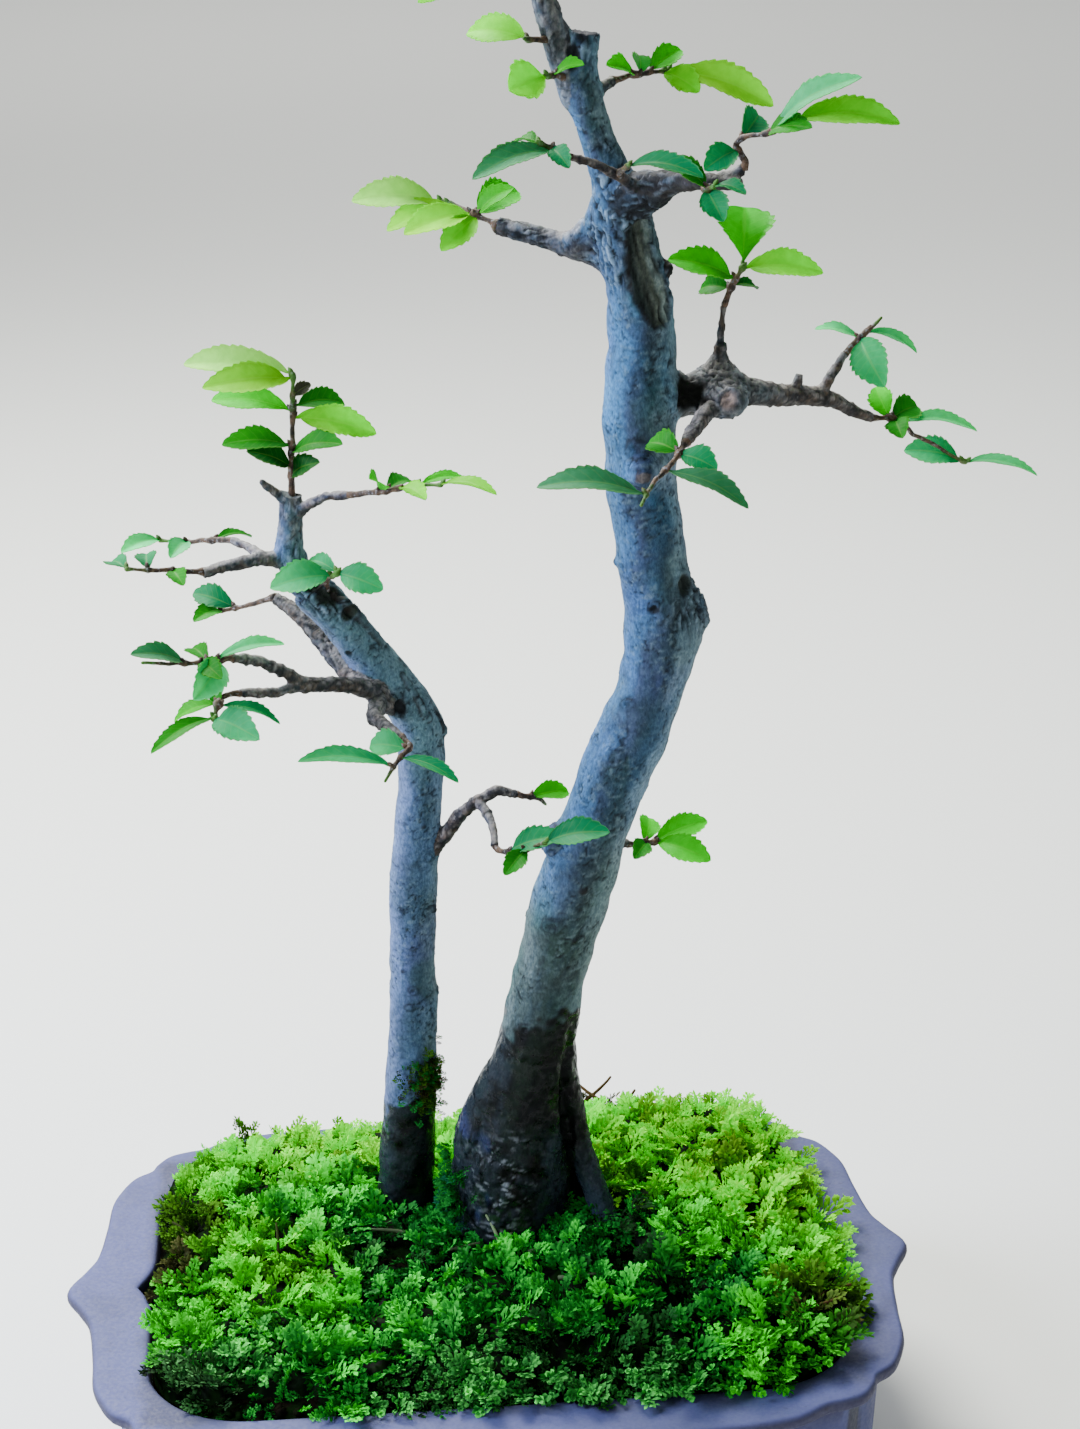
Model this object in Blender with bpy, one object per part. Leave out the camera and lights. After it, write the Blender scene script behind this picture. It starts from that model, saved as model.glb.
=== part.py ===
"""Elm bonsai: two trunks growing in moss-covered soil in a low lobed clay pot.

The lists below are in millimetres, with X to the right, Y away from the viewer and heights
above the flat top of the pot's rim. Everything is turned to metres as it is built.
"""

import math
import random

import bmesh
import bpy
from mathutils import Matrix, Vector

MM = 0.001
GAP = 0.3  # clearance between pieces that touch

# Pot
POT_HEIGHT = 48.0
RIM_EDGE = 1.4  # height of the rounded outer edge of the rim, down from its top
FOOT_HEIGHT = 5.0
FLOOR_TOP = 12.0
BOWL_TAPER = 0.95  # of the inner wall, from the rim down to the floor
DRAIN_X = 38.0
DRAIN_RADIUS = 6.0
BED_HALF = (79.5, 55.5)  # half length and half depth inside the rim
BED_CORNER = 24.0
BED_CUSP = 3.8  # how far the inside comes out at the middle of each short side
# A quarter of the rim's outer outline, from the point on the short side round to the long side
RIM_QUARTER = [
    (100, 0), (96.5, 8), (94, 14), (92.3, 28), (91.6, 38), (90, 43.5), (87, 49.5), (82.8, 52.8),
    (81.5, 56), (78.7, 59.8), (74.4, 61.6), (70, 62.6), (65.6, 65.4), (62.7, 66.9), (54.5, 68.6),
    (49.2, 69.1), (32, 70), (14, 70.6), (0, 71.5),
]
FOOT_POINTS = (5, 12)  # the part of that quarter which a corner foot follows

# Drain screens
SCREEN_SIDE = 18.0
SCREEN_THICKNESS = 0.9
SCREEN_MESH = 5.2  # spacing of the openings
SCREEN_OPENING = 3.6

# Soil and moss
BED_CELLS = (24, 16)  # cells across the bed, each the foot of one tuft
BED_INSET = 0.6
SOIL_EDGE = -2.0  # the soil at the rim
MOUND_MIDDLE = 12.0
MOUND_TO_RIGHT = 5.0
MOUND_TO_BACK = 8.0
MOSS_CLEARANCE = 0.5
MOSS_VALLEY = 1.0
TUFT_HEIGHT = (3.0, 7.0)
TUFT_LEAN = 1.9
VALLEY_WANDER = 1.3

# Leaves
BLADE = 0.65  # thickness
STALK_WIDTH = 0.9
LEAF_FOLD = 0.27  # rise of the blade's edge per unit of width, from the midrib
LEAF_ARCH = 0.10
LEAF_DROOP = 0.08
LEAF_FACING = (0, -0.35, 1)  # the side that leaves turn to the light
TWIG_RADIUS = (0.8, 0.6)
TWIG_SIDES = 4
SPUR_RADIUS = 0.95
STEM_CLEARANCE = 1.1  # of the plain holes in the soil, round the uneven bark

# Limbs are centre points with a radius: (x, y, z, radius)
LARGE_TRUNK = [
    (4, 4, -6, 11.5), (4, 4, 6, 12.2), (5, 4, 16, 12.4), (6.5, 4, 28, 11.6), (9, 3, 42, 9.9),
    (11.5, 3, 56, 9.2), (15.3, 1.5, 76, 8.3), (21, 0, 97, 8.8), (24.5, -1, 110, 7.8),
    (28.5, -1, 121, 7.7), (33, 0, 131, 8.5), (36.5, 0, 140, 7.5), (40, 1, 151, 7.8),
    (41.3, 2, 158, 8.7), (40.5, 2, 165, 8.1), (38.8, 2, 175, 7.5), (37, 3, 189, 7.6),
    (36.5, 4, 207, 7.8), (37, 4, 220, 7.3), (36.5, 3, 231, 6.7),
    (34.5, 2, 240, 6.1), (32.5, 1, 250, 6.3), (30.3, 0, 258, 4.4), (28, 0, 264, 3.7),
    (25.3, -1, 273, 3.5), (24.2, -1, 280, 3.5), (25, -1, 286.5, 3.2),
]
LARGE_ROOTS = {
    "root_right": [(16.5, 3, 54, 4.2), (19, 1, 43, 3.4), (21.5, 0, 31, 3.0), (24.7, -2, 21, 3.0),
                   (27.5, -4, 12, 2.9), (29.5, -5, 4, 2.6)],
    "root_left": [(4, 4, 46, 6), (-1.5, 5, 35, 5.8), (-3, 7, 24, 5.0), (-5, 9, 12, 4.6),
                  (-6, 10, 4, 4.0)],
}
LARGE_LIMBS = {
    "leader": [(23, 0, 274, 3.0), (20.5, -1, 281, 2.9), (18.5, -2, 288, 2.8), (17, -2, 294, 2.5),
               (15.5, -3, 300, 1.7), (14.6, -4, 304, 1.2)],
    "left": [(34, 2, 240, 4.2), (28, 5, 240.3, 2.9), (22, 8, 241.5, 2.3), (15, 11, 243.5, 2.1),
             (8, 14, 245, 1.9)],
    "right_top": [(32, 0, 253, 3.6), (37, -7, 256.5, 2.9), (42, -13, 258, 2.9), (47, -20, 259.5, 1.7),
                  (53, -26, 260, 1.3)],
    "right_top_fork": [(49, -22, 259.8, 1.1), (54, -24, 262.5, 1.0)],
    "top_twig": [(26, -1, 274, 1.5), (31, 2, 276.3, 1.1)],
    "front_twig": [(35, -5, 255.5, 1.2), (31, -12, 259.5, 1.1), (26, -16, 262.7, 0.9),
                   (20.6, -17.6, 264.7, 0.8)],
    "right": [(39, 4, 210, 5.2), (48, 6, 210, 4.4), (55, 9, 209.5, 4.8), (61, 11, 208, 3.1),
              (68, 15, 206, 2.4), (77, 20, 204, 2.2), (82, 23, 202, 1.7),
              (87, 26, 198.5, 1.4), (91, 27.7, 196.6, 1.2)],
    "right_knob": [(54, 8, 209, 4.2), (56.5, 3.5, 207.5, 4.2), (57.2, 2.3, 207.1, 3.6)],
    "right_up": [(78, 20.5, 204, 1.3), (82, 22.3, 209.5, 1.1), (84.2, 23.7, 212.2, 0.95)],
    "right_stub": [(72, 17, 206, 1.1), (73, 17, 209.8, 0.9)],
    "right_shoot": [(55, 9, 212, 1.6), (54.3, 8, 220, 1.1), (54.8, 7.2, 228, 0.9)],
    "right_front": [(53, 6, 208, 2.2), (49, -4, 208, 1.7), (45, -13, 206, 1.4),
                    (43.8, -16.5, 205.2, 1.1)],
    "back_twig": [(25, 4, 105, 2.0), (30, 12, 103, 1.2), (34.5, 14.6, 101.2, 1.0)],
    "knot_left": [(24, -1, 109, 4.2), (16.5, -2, 110.5, 3.4), (14.4, -2.3, 111, 2.4)],
    "knot_right": [(41, 2, 161, 4.8), (47.5, 1.5, 162.5, 3.8), (49.3, 1.4, 163, 2.6)],
    "knot_front": [(36.5, 3, 196, 4.4), (36.2, -3.6, 195.5, 3.6), (36.1, -5.2, 195.3, 2.2)],
    "cut_stub": [(36, 2, 236, 2.6), (42, 1, 239, 2.0), (43.5, 0.8, 239.6, 1.8)],
}
SMALL_TRUNK = [
    (-19.5, 14, -6, 5.8), (-19.6, 14, 6, 6.4), (-19.3, 14, 15, 6.5), (-18.5, 14, 26, 6.4),
    (-17.5, 14, 40, 6.0), (-16.5, 13.5, 53, 5.8), (-16, 13, 66, 5.6), (-15.8, 12.5, 79, 5.3),
    (-15.2, 12, 92, 5.4), (-14, 11, 105, 5.3), (-12.9, 10.5, 117, 5.2), (-12, 10, 127, 5.3),
    (-12.2, 10, 134, 5.4), (-15, 10, 140.5, 5.1), (-19.2, 9.5, 147, 4.9), (-23.5, 9, 153, 4.8),
    (-27.5, 8.5, 159, 4.7), (-31.5, 8, 164.5, 4.6), (-34.5, 8, 168.3, 4.5),
]
SMALL_LIMBS = {
    "leader": [(-33, 8, 165, 3.4), (-37.5, 7.5, 171, 3.3), (-39.3, 7, 177, 3.2), (-38.6, 7, 184, 2.7),
               (-38.2, 7, 190, 2.4)],
    "leader_stub": [(-38.4, 7, 188, 1.4), (-42, 6, 191.5, 0.9), (-44.5, 5.5, 194, 0.7)],
    "top_right": [(-38, 7, 185.5, 1.5), (-34.5, 4.5, 188.5, 1.2), (-30.5, 0, 191.6, 1.0),
                  (-26, -3.4, 192.7, 0.9)],
    "left_top": [(-39, 7, 175, 1.9), (-45, 5, 176.8, 1.5), (-52, 2, 176.5, 1.3),
                 (-57.5, -0.8, 176, 1.1)],
    "left_top_fork": [(-45, 5, 177, 1.2), (-48.5, 9.5, 178.5, 1.0), (-51.3, 12.5, 178.6, 0.9)],
    "left_low": [(-19, 9, 143, 2.6), (-23, 2, 146.5, 2.1), (-27, -2, 149.5, 1.8),
                 (-32, -6, 151.5, 1.7), (-37, -10, 153, 1.6)],
    "left_low_upper": [(-37, -10, 153, 1.5), (-41, -12.5, 157, 1.3), (-46, -16, 161, 1.2),
                       (-51.5, -19.3, 163.2, 1.0)],
    "left_low_lower": [(-37, -10, 153, 1.3), (-43, -15, 153.5, 1.1), (-50.5, -19.3, 155.3, 0.9)],
    "left_mid": [(-24, 4, 147, 1.7), (-28, 9, 148.5, 1.9), (-31.5, 13, 152.5, 2.0),
                 (-35.5, 16, 157, 1.8), (-40, 18.5, 160.8, 1.5), (-43, 20, 162.6, 1.2)],
    "front": [(-18, 8, 140, 1.9), (-21.5, 0.5, 144, 1.8), (-22.5, -7, 143.5, 1.6),
              (-19.5, -12.5, 143, 1.2), (-17, -15.4, 142.3, 1.0)],
    "low_right": [(-12.5, 10, 103, 2.2), (-7.5, 8, 108.5, 1.7), (-4, 5.5, 114.5, 1.5),
                  (-1, 3.3, 118, 1.4), (4, 2, 121.5, 1.2), (8.5, 3.6, 119.6, 0.9)],
    "low_right_drop": [(0, 3, 118.8, 1.2), (2.6, -3, 116, 1.0), (2.8, -8.5, 112.6, 0.9)],
}

# Leafy sprays. "at" is the limb that the spray continues, or the point of the wood where it
# springs from a spur of its own. "twig" is the twig's centre line, and a leaf is (place along the
# twig, heading and rise in degrees, length, width, turn of its face towards the viewer).
SPRAYS = {
    "small_top": dict(trunk="small", at=(-38.2, 7, 188.5), twig=[
        (-38, 7, 192.5), (-37.5, 6, 200.5), (-37, 5, 208.5), (-35.5, 4, 214.5), (-38.5, 2, 218),
        (-42.5, 0, 220.5)], leaves=[
        (1, 165, 0, 18.5, 7, 25), (0.82, -155, 5, 17.5, 7.5, 35), (0.5, 170, 10, 17, 6.5, 20),
        (0.46, -5, -10, 18, 7, 30), (0.56, 35, -5, 14, 6, 20), (0.29, -165, 10, 15, 6, 20),
        (0.22, -40, 20, 14, 6.5, 20), (0.12, -155, 30, 11, 6, 30), (0.06, -45, 30, 9, 6, 40)]),
    "small_cut": dict(trunk="small", at=(-31.5, 7, 165), twig=[
        (-31.5, 5, 170.5), (-30.5, 2, 173), (-29, 0, 174.5)], leaves=[
        (0.7, -160, 0, 14, 8, 25), (1, 135, 15, 9, 5.5, 20), (0.96, -30, -10, 11, 7.5, 35)]),
    "small_right": dict(trunk="small", at="top_right", twig=[
        (-24.5, -4.4, 193.1), (-18.5, -9, 195), (-12, -13, 197), (-7, -16, 198)], leaves=[
        (0.3, -105, 40, 8, 5.5, 30), (0.38, 55, -5, 12, 6, 0), (0.53, -60, 5, 10, 5, 0),
        (0.73, 35, -5, 15, 5.5, 5), (1, -40, 5, 14, 5.5, 5)]),
    "small_left_top": dict(trunk="small", at="left_top_fork", twig=[
        (-52.8, 13.6, 178.4), (-57.5, 17, 177.5), (-62, 20, 176.3), (-67.5, 23, 176)], leaves=[
        (0.62, -100, -5, 10, 6.5, 30), (1, -130, 5, 12, 7.5, 30), (0.21, 40, -5, 11, 4.5, 0)]),
    "small_left": dict(trunk="small", at="left_top", twig=[
        (-59, -1.3, 176.4), (-65.5, -4, 178), (-73, -7, 179.5)], leaves=[
        (1, 120, 0, 8, 5, 10), (0.7, 95, 15, 7, 5, 10), (0.35, -70, -5, 7, 4.5, 10)]),
    "small_mid_left": dict(trunk="small", at="left_mid", twig=[
        (-45, 21.2, 161.8), (-50, 24, 159.5), (-59, 30, 156)], leaves=[
        (0.5, 155, 15, 11, 6, 25), (0.73, -130, 5, 9, 5, 10)]),
    "small_low_left": dict(trunk="small", at="left_low_upper", twig=[
        (-53, -20.2, 163.5), (-56.5, -22.5, 163.8), (-62.5, -26, 165), (-69.5, -30, 167)], leaves=[
        (0.5, -145, 25, 13, 6.5, 25), (0.13, 15, 10, 15, 5.5, 0), (0.22, 115, 5, 9, 5.5, 15),
        (0.06, -115, -20, 12.5, 8.5, 35), (0.3, -60, -5, 8, 5, 20)]),
    "small_lowest": dict(trunk="small", at="left_low_lower", twig=[
        (-52, -20.2, 155.6), (-54.5, -22.3, 155.3), (-56, -25, 152)], leaves=[
        (0.57, 165, -20, 11, 4.5, 0), (0.95, -145, -10, 16, 5, 5), (1, -50, 5, 14, 9, 30),
        (0.6, 10, -20, 14, 4.5, 0), (0.65, 95, 30, 8, 5, 20)]),
    "small_front": dict(trunk="small", at="front", twig=[
        (-16.2, -16.9, 142), (-15.5, -19.5, 141.5), (-18.5, -24, 140), (-21, -28, 137.5)], leaves=[
        (0.71, 180, 10, 20, 6, 5), (0.25, 155, 0, 9, 6.5, 25), (0.49, -30, -10, 14, 5.5, 5)]),
    "low_right_twig": dict(trunk="small", at="low_right", twig=[
        (10, 4.4, 118.8), (14, 7, 116.5), (15.6, 10, 114)], leaves=[
        (0.24, 30, -5, 11, 5.5, 20)]),
    "low_front_twig": dict(trunk="small", at="low_right_drop", twig=[
        (3.6, -10.2, 112.4), (6.5, -13.5, 113), (10, -17, 115.5), (13, -20, 118)], leaves=[
        (0.18, -25, 25, 14, 7, 20), (1, -25, 20, 15, 7, 20), (0.56, -130, -20, 8, 5, 20)]),
    "back_twig": dict(trunk="large", at="back_twig", twig=[
        (36.2, 15.3, 100.8), (41, 17, 100.3), (45.5, 20, 99.5)], leaves=[
        (0.26, 75, 20, 9, 6, 20), (0.47, 15, 15, 14, 6.5, 20), (0.54, -35, -5, 14, 7, 25),
        (0.3, -115, 0, 8, 5, 20)]),
    "right_up": dict(trunk="large", at="right_up", twig=[
        (85.4, 24.3, 213.5), (89.5, 25.2, 217), (92.5, 26, 219.5)], leaves=[
        (0.35, -65, -20, 14, 9.5, 35), (0.3, 165, 15, 10, 4, 0), (0.53, 0, -20, 12.5, 4, 0)]),
    "right_shoot": dict(trunk="large", at="right_shoot", twig=[
        (55.3, 6.9, 229.6), (57, 6, 233.5), (58.5, 5, 236.5)], leaves=[
        (1, 80, 55, 14, 13.5, 0), (0.95, -10, 0, 17, 7.5, 25), (0.62, -180, 20, 15, 8, 25),
        (0.3, 140, -5, 8, 6, 30), (0.4, 30, -10, 7, 4, 10)]),
    "right_front": dict(trunk="large", at="right_front", twig=[
        (43.1, -18.2, 204.9), (39.5, -26, 203.5), (35, -34, 202), (31.5, -42, 200)], leaves=[
        (0.12, 130, 5, 9, 6.5, 20), (0.15, -35, -10, 9, 6.5, 20), (0.44, -15, -20, 18.5, 6.5, 10),
        (0.85, 180, 10, 22, 6.5, 10)]),
    "right_end": dict(trunk="large", at="right", twig=[
        (92.5, 28.6, 196.1), (96, 30.5, 195.5), (99.5, 32.7, 193.5), (102, 34, 190.5),
        (107, 37, 187.5), (114.5, 41, 182), (116.5, 42, 181)], leaves=[
        (0.12, 120, 50, 8, 6, 30), (0.14, 35, 10, 9, 7, 25), (0.24, 0, -5, 18, 5, 0),
        (0.18, -90, -10, 8, 6, 20), (0.97, 180, 15, 14, 7.5, 25), (1, -15, -5, 16.5, 5, 0)]),
    "left_end": dict(trunk="large", at="left", twig=[
        (6.4, 15.1, 245.6), (4, 17, 246.5), (0, 20, 248), (-3.5, 22, 249)], leaves=[
        (1, 180, 5, 19, 7.5, 25), (0.85, -165, -15, 14.5, 6.5, 20), (0.4, -150, -5, 16.5, 7.5, 25),
        (0.3, -135, -25, 12, 6.5, 30), (0.36, 40, 15, 14, 8.5, 20), (0.3, -15, 40, 10, 5.5, 15)]),
    "upper_front": dict(trunk="large", at="front_twig", twig=[
        (19.2, -18.2, 265.4), (16.5, -20, 267), (13.5, -21, 268.5)], leaves=[
        (0.24, -145, -5, 19, 7.5, 25), (0.51, -70, -15, 8, 5, 20), (0.88, 130, 0, 7, 4, 0)]),
    "upper_front_leaf": dict(trunk="large", at=(31, -12, 259.5), twig=[
        (30.6, -15, 261), (30.9, -20, 262.6), (31.5, -24, 264)], leaves=[
        (0.78, -30, 0, 16, 6, 5)]),
    "upper_right_low": dict(trunk="large", at=(47, -20, 259.5), twig=[
        (46.4, -23.4, 258.4), (46.5, -26, 258.9), (47.5, -29, 260.3)], leaves=[
        (0.45, -70, -35, 8, 6, 25), (1, -50, 0, 8, 4, 5), (0.55, 150, 35, 10, 5, 15)]),
    "upper_right": dict(trunk="large", at="right_top_fork", twig=[
        (54.3, -24.2, 264), (52.5, -23.5, 267), (54, -24.2, 268.8), (58, -28, 270), (62, -31, 273)],
        leaves=[
        (0.15, -145, -15, 9, 6, 25), (0.3, 60, 20, 11, 6.5, 30), (0.75, -35, 35, 21, 7.5, 30),
        (0.98, 0, 0, 22, 8, 25), (0.66, -50, 15, 11, 6.5, 30)]),
    "upper_twig": dict(trunk="large", at="top_twig", twig=[
        (32.6, 3, 276.6), (38, 6, 277), (43, 9, 276.8)], leaves=[
        (0.29, -140, 25, 8, 5.5, 25), (0.6, 35, 25, 10, 5.5, 20), (1, -10, -15, 23, 8, 25),
        (0.9, -35, -20, 9, 6.5, 25), (0.41, -95, 45, 7, 4.5, 20)]),
    "leader_low": dict(trunk="large", at=(22, -1, 277), twig=[
        (19.6, -4.4, 278.6), (18, -6.5, 279), (16, -8.5, 279.3)], leaves=[
        (0.74, -135, -5, 11, 9, 35), (0.4, -30, 25, 7, 4, 10)]),
    "leader_left": dict(trunk="large", at=(19, -2, 286), twig=[
        (15.9, -4, 285.7), (14, -5.5, 286), (12.5, -7, 286.5)], leaves=[
        (0.7, 150, 5, 14, 8, 30)]),
    "leader_top": dict(trunk="large", at="leader", twig=[
        (14.4, -4.1, 305.6), (14, -4, 309), (14, -4, 312)], leaves=[
        (0.94, -35, 20, 17, 7.5, 25), (1, 110, 45, 15, 7.5, 20), (0.63, -160, 15, 17, 7.5, 25),
        (0.38, 30, -5, 14, 6.5, 20)]),
    "leader_top_left": dict(trunk="large", at=(15.5, -3, 300), twig=[
        (13.2, -4.6, 300.3), (11.5, -6, 300.6), (8.5, -8, 300.8)], leaves=[
        (0.93, -160, -15, 19, 8, 25), (0.68, 145, 15, 15, 7, 20), (0.47, -70, -20, 9, 6, 20)]),
}


def above_rim(point):
    """A listed point as a place in the scene, in metres."""
    return Vector((point[0], point[1], point[2] + POT_HEIGHT)) * MM


def new_object(name, verts, faces):
    mesh = bpy.data.meshes.new(name)
    mesh.from_pydata(verts, [], faces)
    mesh.update()
    obj = bpy.data.objects.new(name, mesh)
    bpy.context.scene.collection.objects.link(obj)
    return obj


def remove_object(obj):
    mesh = obj.data
    bpy.data.objects.remove(obj)
    bpy.data.meshes.remove(mesh)


def combine(obj, parts, operation, solver="EXACT"):
    """Join parts to obj, or cut them from it, in one Boolean that is then applied."""
    group = bpy.data.collections.new("operands")
    for part in parts:
        group.objects.link(part)
    boolean = obj.modifiers.new("combine", "BOOLEAN")
    boolean.operation = operation
    boolean.operand_type = "COLLECTION"
    boolean.collection = group
    boolean.solver = solver
    graph = bpy.context.evaluated_depsgraph_get()
    made = bpy.data.meshes.new_from_object(obj.evaluated_get(graph))
    old = obj.data
    obj.modifiers.clear()
    obj.data = made
    obj.data.name = obj.name
    bpy.data.meshes.remove(old)
    for part in parts:
        remove_object(part)
    bpy.data.collections.remove(group)
    return obj


def material(obj, name, colour, roughness):
    """One plain dielectric finish; the colour is linear RGB."""
    finish = bpy.data.materials.get(name) or bpy.data.materials.new(name)
    finish.use_nodes = True
    shader = finish.node_tree.nodes["Principled BSDF"]
    shader.inputs["Base Color"].default_value = (*colour, 1)
    shader.inputs["Roughness"].default_value = roughness
    shader.inputs["Metallic"].default_value = 0
    obj.data.materials.clear()
    obj.data.materials.append(finish)


# Pot

def rim_outline():
    """The whole outer outline of the rim, anticlockwise from the right-hand point."""
    half = RIM_QUARTER + [(-x, y) for x, y in reversed(RIM_QUARTER[:-1])]
    return half + [(-x, -y) for x, y in half[1:-1]]


def bed_point(u, v, inset=0.0):
    """A point of the bed inside the rim: u and v run from -1 to 1 and meet its edge there."""
    half_x, half_y = BED_HALF[0] - inset, BED_HALF[1] - inset
    x, y = half_x * u, half_y * v
    corner_x, corner_y = half_x - BED_CORNER, half_y - BED_CORNER
    dx, dy = abs(x) - corner_x, abs(y) - corner_y
    if dx > 0 and dy > 0:
        round_off = max(dx, dy) / math.hypot(dx, dy)
        x = math.copysign(corner_x + dx * round_off, x)
        y = math.copysign(corner_y + dy * round_off, y)
    near_middle = max(0.0, 1 - abs(y) / 13)
    x += math.copysign(BED_CUSP * abs(u) ** 4 * near_middle ** 2, x)
    return x, y


def bed_edge_facing(x, y):
    """The point of the bed's edge that lies in the direction of (x, y)."""
    reach = max(abs(x) / BED_HALF[0], abs(y) / BED_HALF[1])
    return bed_point(x / BED_HALF[0] / reach, y / BED_HALF[1] / reach)


def rim_loop(inward, height):
    """The rim's outline moved in: 0 is its outer edge and 1 its inner one."""
    loop = []
    for x, y in rim_outline():
        inner_x, inner_y = bed_edge_facing(x, y)
        loop.append(Vector((x + (inner_x - x) * inward, y + (inner_y - y) * inward, height)) * MM)
    return loop


def bowl_loop(scale, height):
    """The bed's outline at the inner wall of the bowl."""
    loop = []
    for x, y in rim_outline():
        inner_x, inner_y = bed_edge_facing(x, y)
        loop.append(Vector((inner_x * scale, inner_y * scale, height)) * MM)
    return loop


def skin_loops(name, loops):
    """A closed body through loops of equal length, capped at both ends."""
    count = len(loops[0])
    verts = [v for loop in loops for v in loop]
    faces = [tuple(range(count))[::-1]]
    for row in range(len(loops) - 1):
        for i in range(count):
            j = (i + 1) % count
            a, b = row * count + i, row * count + j
            faces.append((a, b, b + count, a + count))
    last = (len(loops) - 1) * count
    faces.append(tuple(range(last, last + count)))
    return new_object(name, verts, faces)


def corner_foot(sign_x, sign_y):
    """A bracket foot along one corner of the base, sunk into it."""
    first, last = FOOT_POINTS
    outer = rim_loop(0.66, 0)[first:last + 1]
    inner = rim_loop(1.30, 0)[first:last + 1]
    outline = [Vector((v.x * sign_x, v.y * sign_y, 0)) for v in outer + inner[::-1]]
    if sign_x * sign_y < 0:
        outline.reverse()
    top = Vector((0, 0, (FOOT_HEIGHT + 2) * MM))
    return skin_loops("foot", [outline, [v + top for v in outline]])


def drain_cutter(x):
    bpy.ops.mesh.primitive_cylinder_add(
        vertices=14, radius=DRAIN_RADIUS * MM, depth=4 * FLOOR_TOP * MM, location=(x * MM, 0, 0))
    return bpy.context.object


def make_pot():
    top = POT_HEIGHT
    pot = skin_loops("pot", [
        rim_loop(0.70, FOOT_HEIGHT), rim_loop(0.60, FOOT_HEIGHT + 3), rim_loop(0.42, top - 5),
        rim_loop(0.08, top - 3), rim_loop(0, top - RIM_EDGE),
        rim_loop(0.07, top), rim_loop(0.94, top), rim_loop(1, top - 0.8),
        bowl_loop(BOWL_TAPER, FLOOR_TOP),
    ])
    feet = [corner_foot(sx, sy) for sx in (1, -1) for sy in (1, -1)]
    combine(pot, feet, "UNION")
    combine(pot, [drain_cutter(DRAIN_X), drain_cutter(-DRAIN_X)], "DIFFERENCE")
    material(pot, "unglazed_clay", (0.27, 0.27, 0.40), 0.75)


def make_screen(name, x):
    """A plastic mesh over a drain hole, with square openings."""
    low = FLOOR_TOP + GAP
    bpy.ops.mesh.primitive_cube_add(size=MM)
    screen = bpy.context.object
    screen.name = name
    screen.data.transform(Matrix.Diagonal((SCREEN_SIDE, SCREEN_SIDE, SCREEN_THICKNESS, 1)))
    screen.data.transform(Matrix.Translation(Vector((x, 0, low + SCREEN_THICKNESS / 2)) * MM))
    cutters = []
    for i in (-1, 0, 1):
        for j in (-1, 0, 1):
            bpy.ops.mesh.primitive_cube_add(size=SCREEN_OPENING * MM, location=(
                (x + i * SCREEN_MESH) * MM, j * SCREEN_MESH * MM, low * MM))
            cutters.append(bpy.context.object)
    combine(screen, cutters, "DIFFERENCE")
    material(screen, "black_plastic_mesh", (0.02, 0.02, 0.02), 0.5)


# Soil and moss

def mound(x, y):
    """Height of the soil over the rim: level at the pot's edge, highest at the back right."""
    u, v = x / BED_HALF[0], y / BED_HALF[1]
    edge = max(0.0, 1 - u ** 6) * max(0.0, 1 - v ** 6)
    return SOIL_EDGE + edge * (MOUND_MIDDLE + MOUND_TO_RIGHT * u + MOUND_TO_BACK * v)


def bed_grid():
    """The bed's grid points as (x, y), by column and row."""
    columns, rows = BED_CELLS
    return [[bed_point(2 * i / columns - 1, 2 * j / rows - 1, BED_INSET)
             for j in range(rows + 1)] for i in range(columns + 1)]


def bed_edge_cells():
    """The grid's outer points, anticlockwise, as (column, row)."""
    columns, rows = BED_CELLS
    return ([(i, 0) for i in range(columns)] + [(columns, j) for j in range(rows)]
            + [(i, rows) for i in range(columns, 0, -1)] + [(0, j) for j in range(rows, 0, -1)])


def make_soil(cutters):
    columns, rows = BED_CELLS
    grid = bed_grid()
    verts, index = [], {}
    for i in range(columns + 1):
        for j in range(rows + 1):
            x, y = grid[i][j]
            index[i, j] = len(verts)
            verts.append(above_rim((x, y, mound(x, y))))
    faces = []
    for i in range(columns):
        for j in range(rows):
            a, b, c, d = index[i, j], index[i + 1, j], index[i + 1, j + 1], index[i, j + 1]
            faces += [(a, b, c), (a, c, d)]
    # The sides follow the bowl down to its floor
    upper = [index[cell] for cell in bed_edge_cells()]
    lower = []
    for i, j in bed_edge_cells():
        x, y = grid[i][j]
        lower.append(len(verts))
        verts.append(Vector((x * BOWL_TAPER, y * BOWL_TAPER, FLOOR_TOP + GAP)) * MM)
    for k in range(len(upper)):
        following = (k + 1) % len(upper)
        faces.append((lower[k], lower[following], upper[following], upper[k]))
    faces.append(tuple(reversed(lower)))
    soil = new_object("soil", verts, faces)
    for x in (DRAIN_X, -DRAIN_X):
        side = SCREEN_SIDE + 2 * GAP
        bpy.ops.mesh.primitive_cube_add(size=MM)
        recess = bpy.context.object
        recess.data.transform(Matrix.Diagonal((side, side, 4, 1)))
        recess.data.transform(Matrix.Translation(Vector((x, 0, FLOOR_TOP)) * MM))
        cutters.append(recess)
    combine(soil, cutters, "DIFFERENCE")
    material(soil, "dark_soil", (0.02, 0.015, 0.012), 0.95)


def is_bare(x, y):
    """Where the soil shows: round the trunks, in a channel at the front and along two edges."""
    u, v = x / BED_HALF[0], y / BED_HALF[1]
    round_large = math.hypot((x - 7) / 1.15, y - 4) < 19
    round_small = math.hypot(x + 19, y - 14) < 12.5
    round_root = math.hypot(x - 27, y + 3) < 9
    channel = abs(x - 31 + 0.06 * y) < 4.5 and y < 6
    front_left = u < -0.55 and v < -0.86
    left = u < -0.93 and -0.1 < v < 0.5
    return round_large or round_small or round_root or channel or front_left or left


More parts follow.
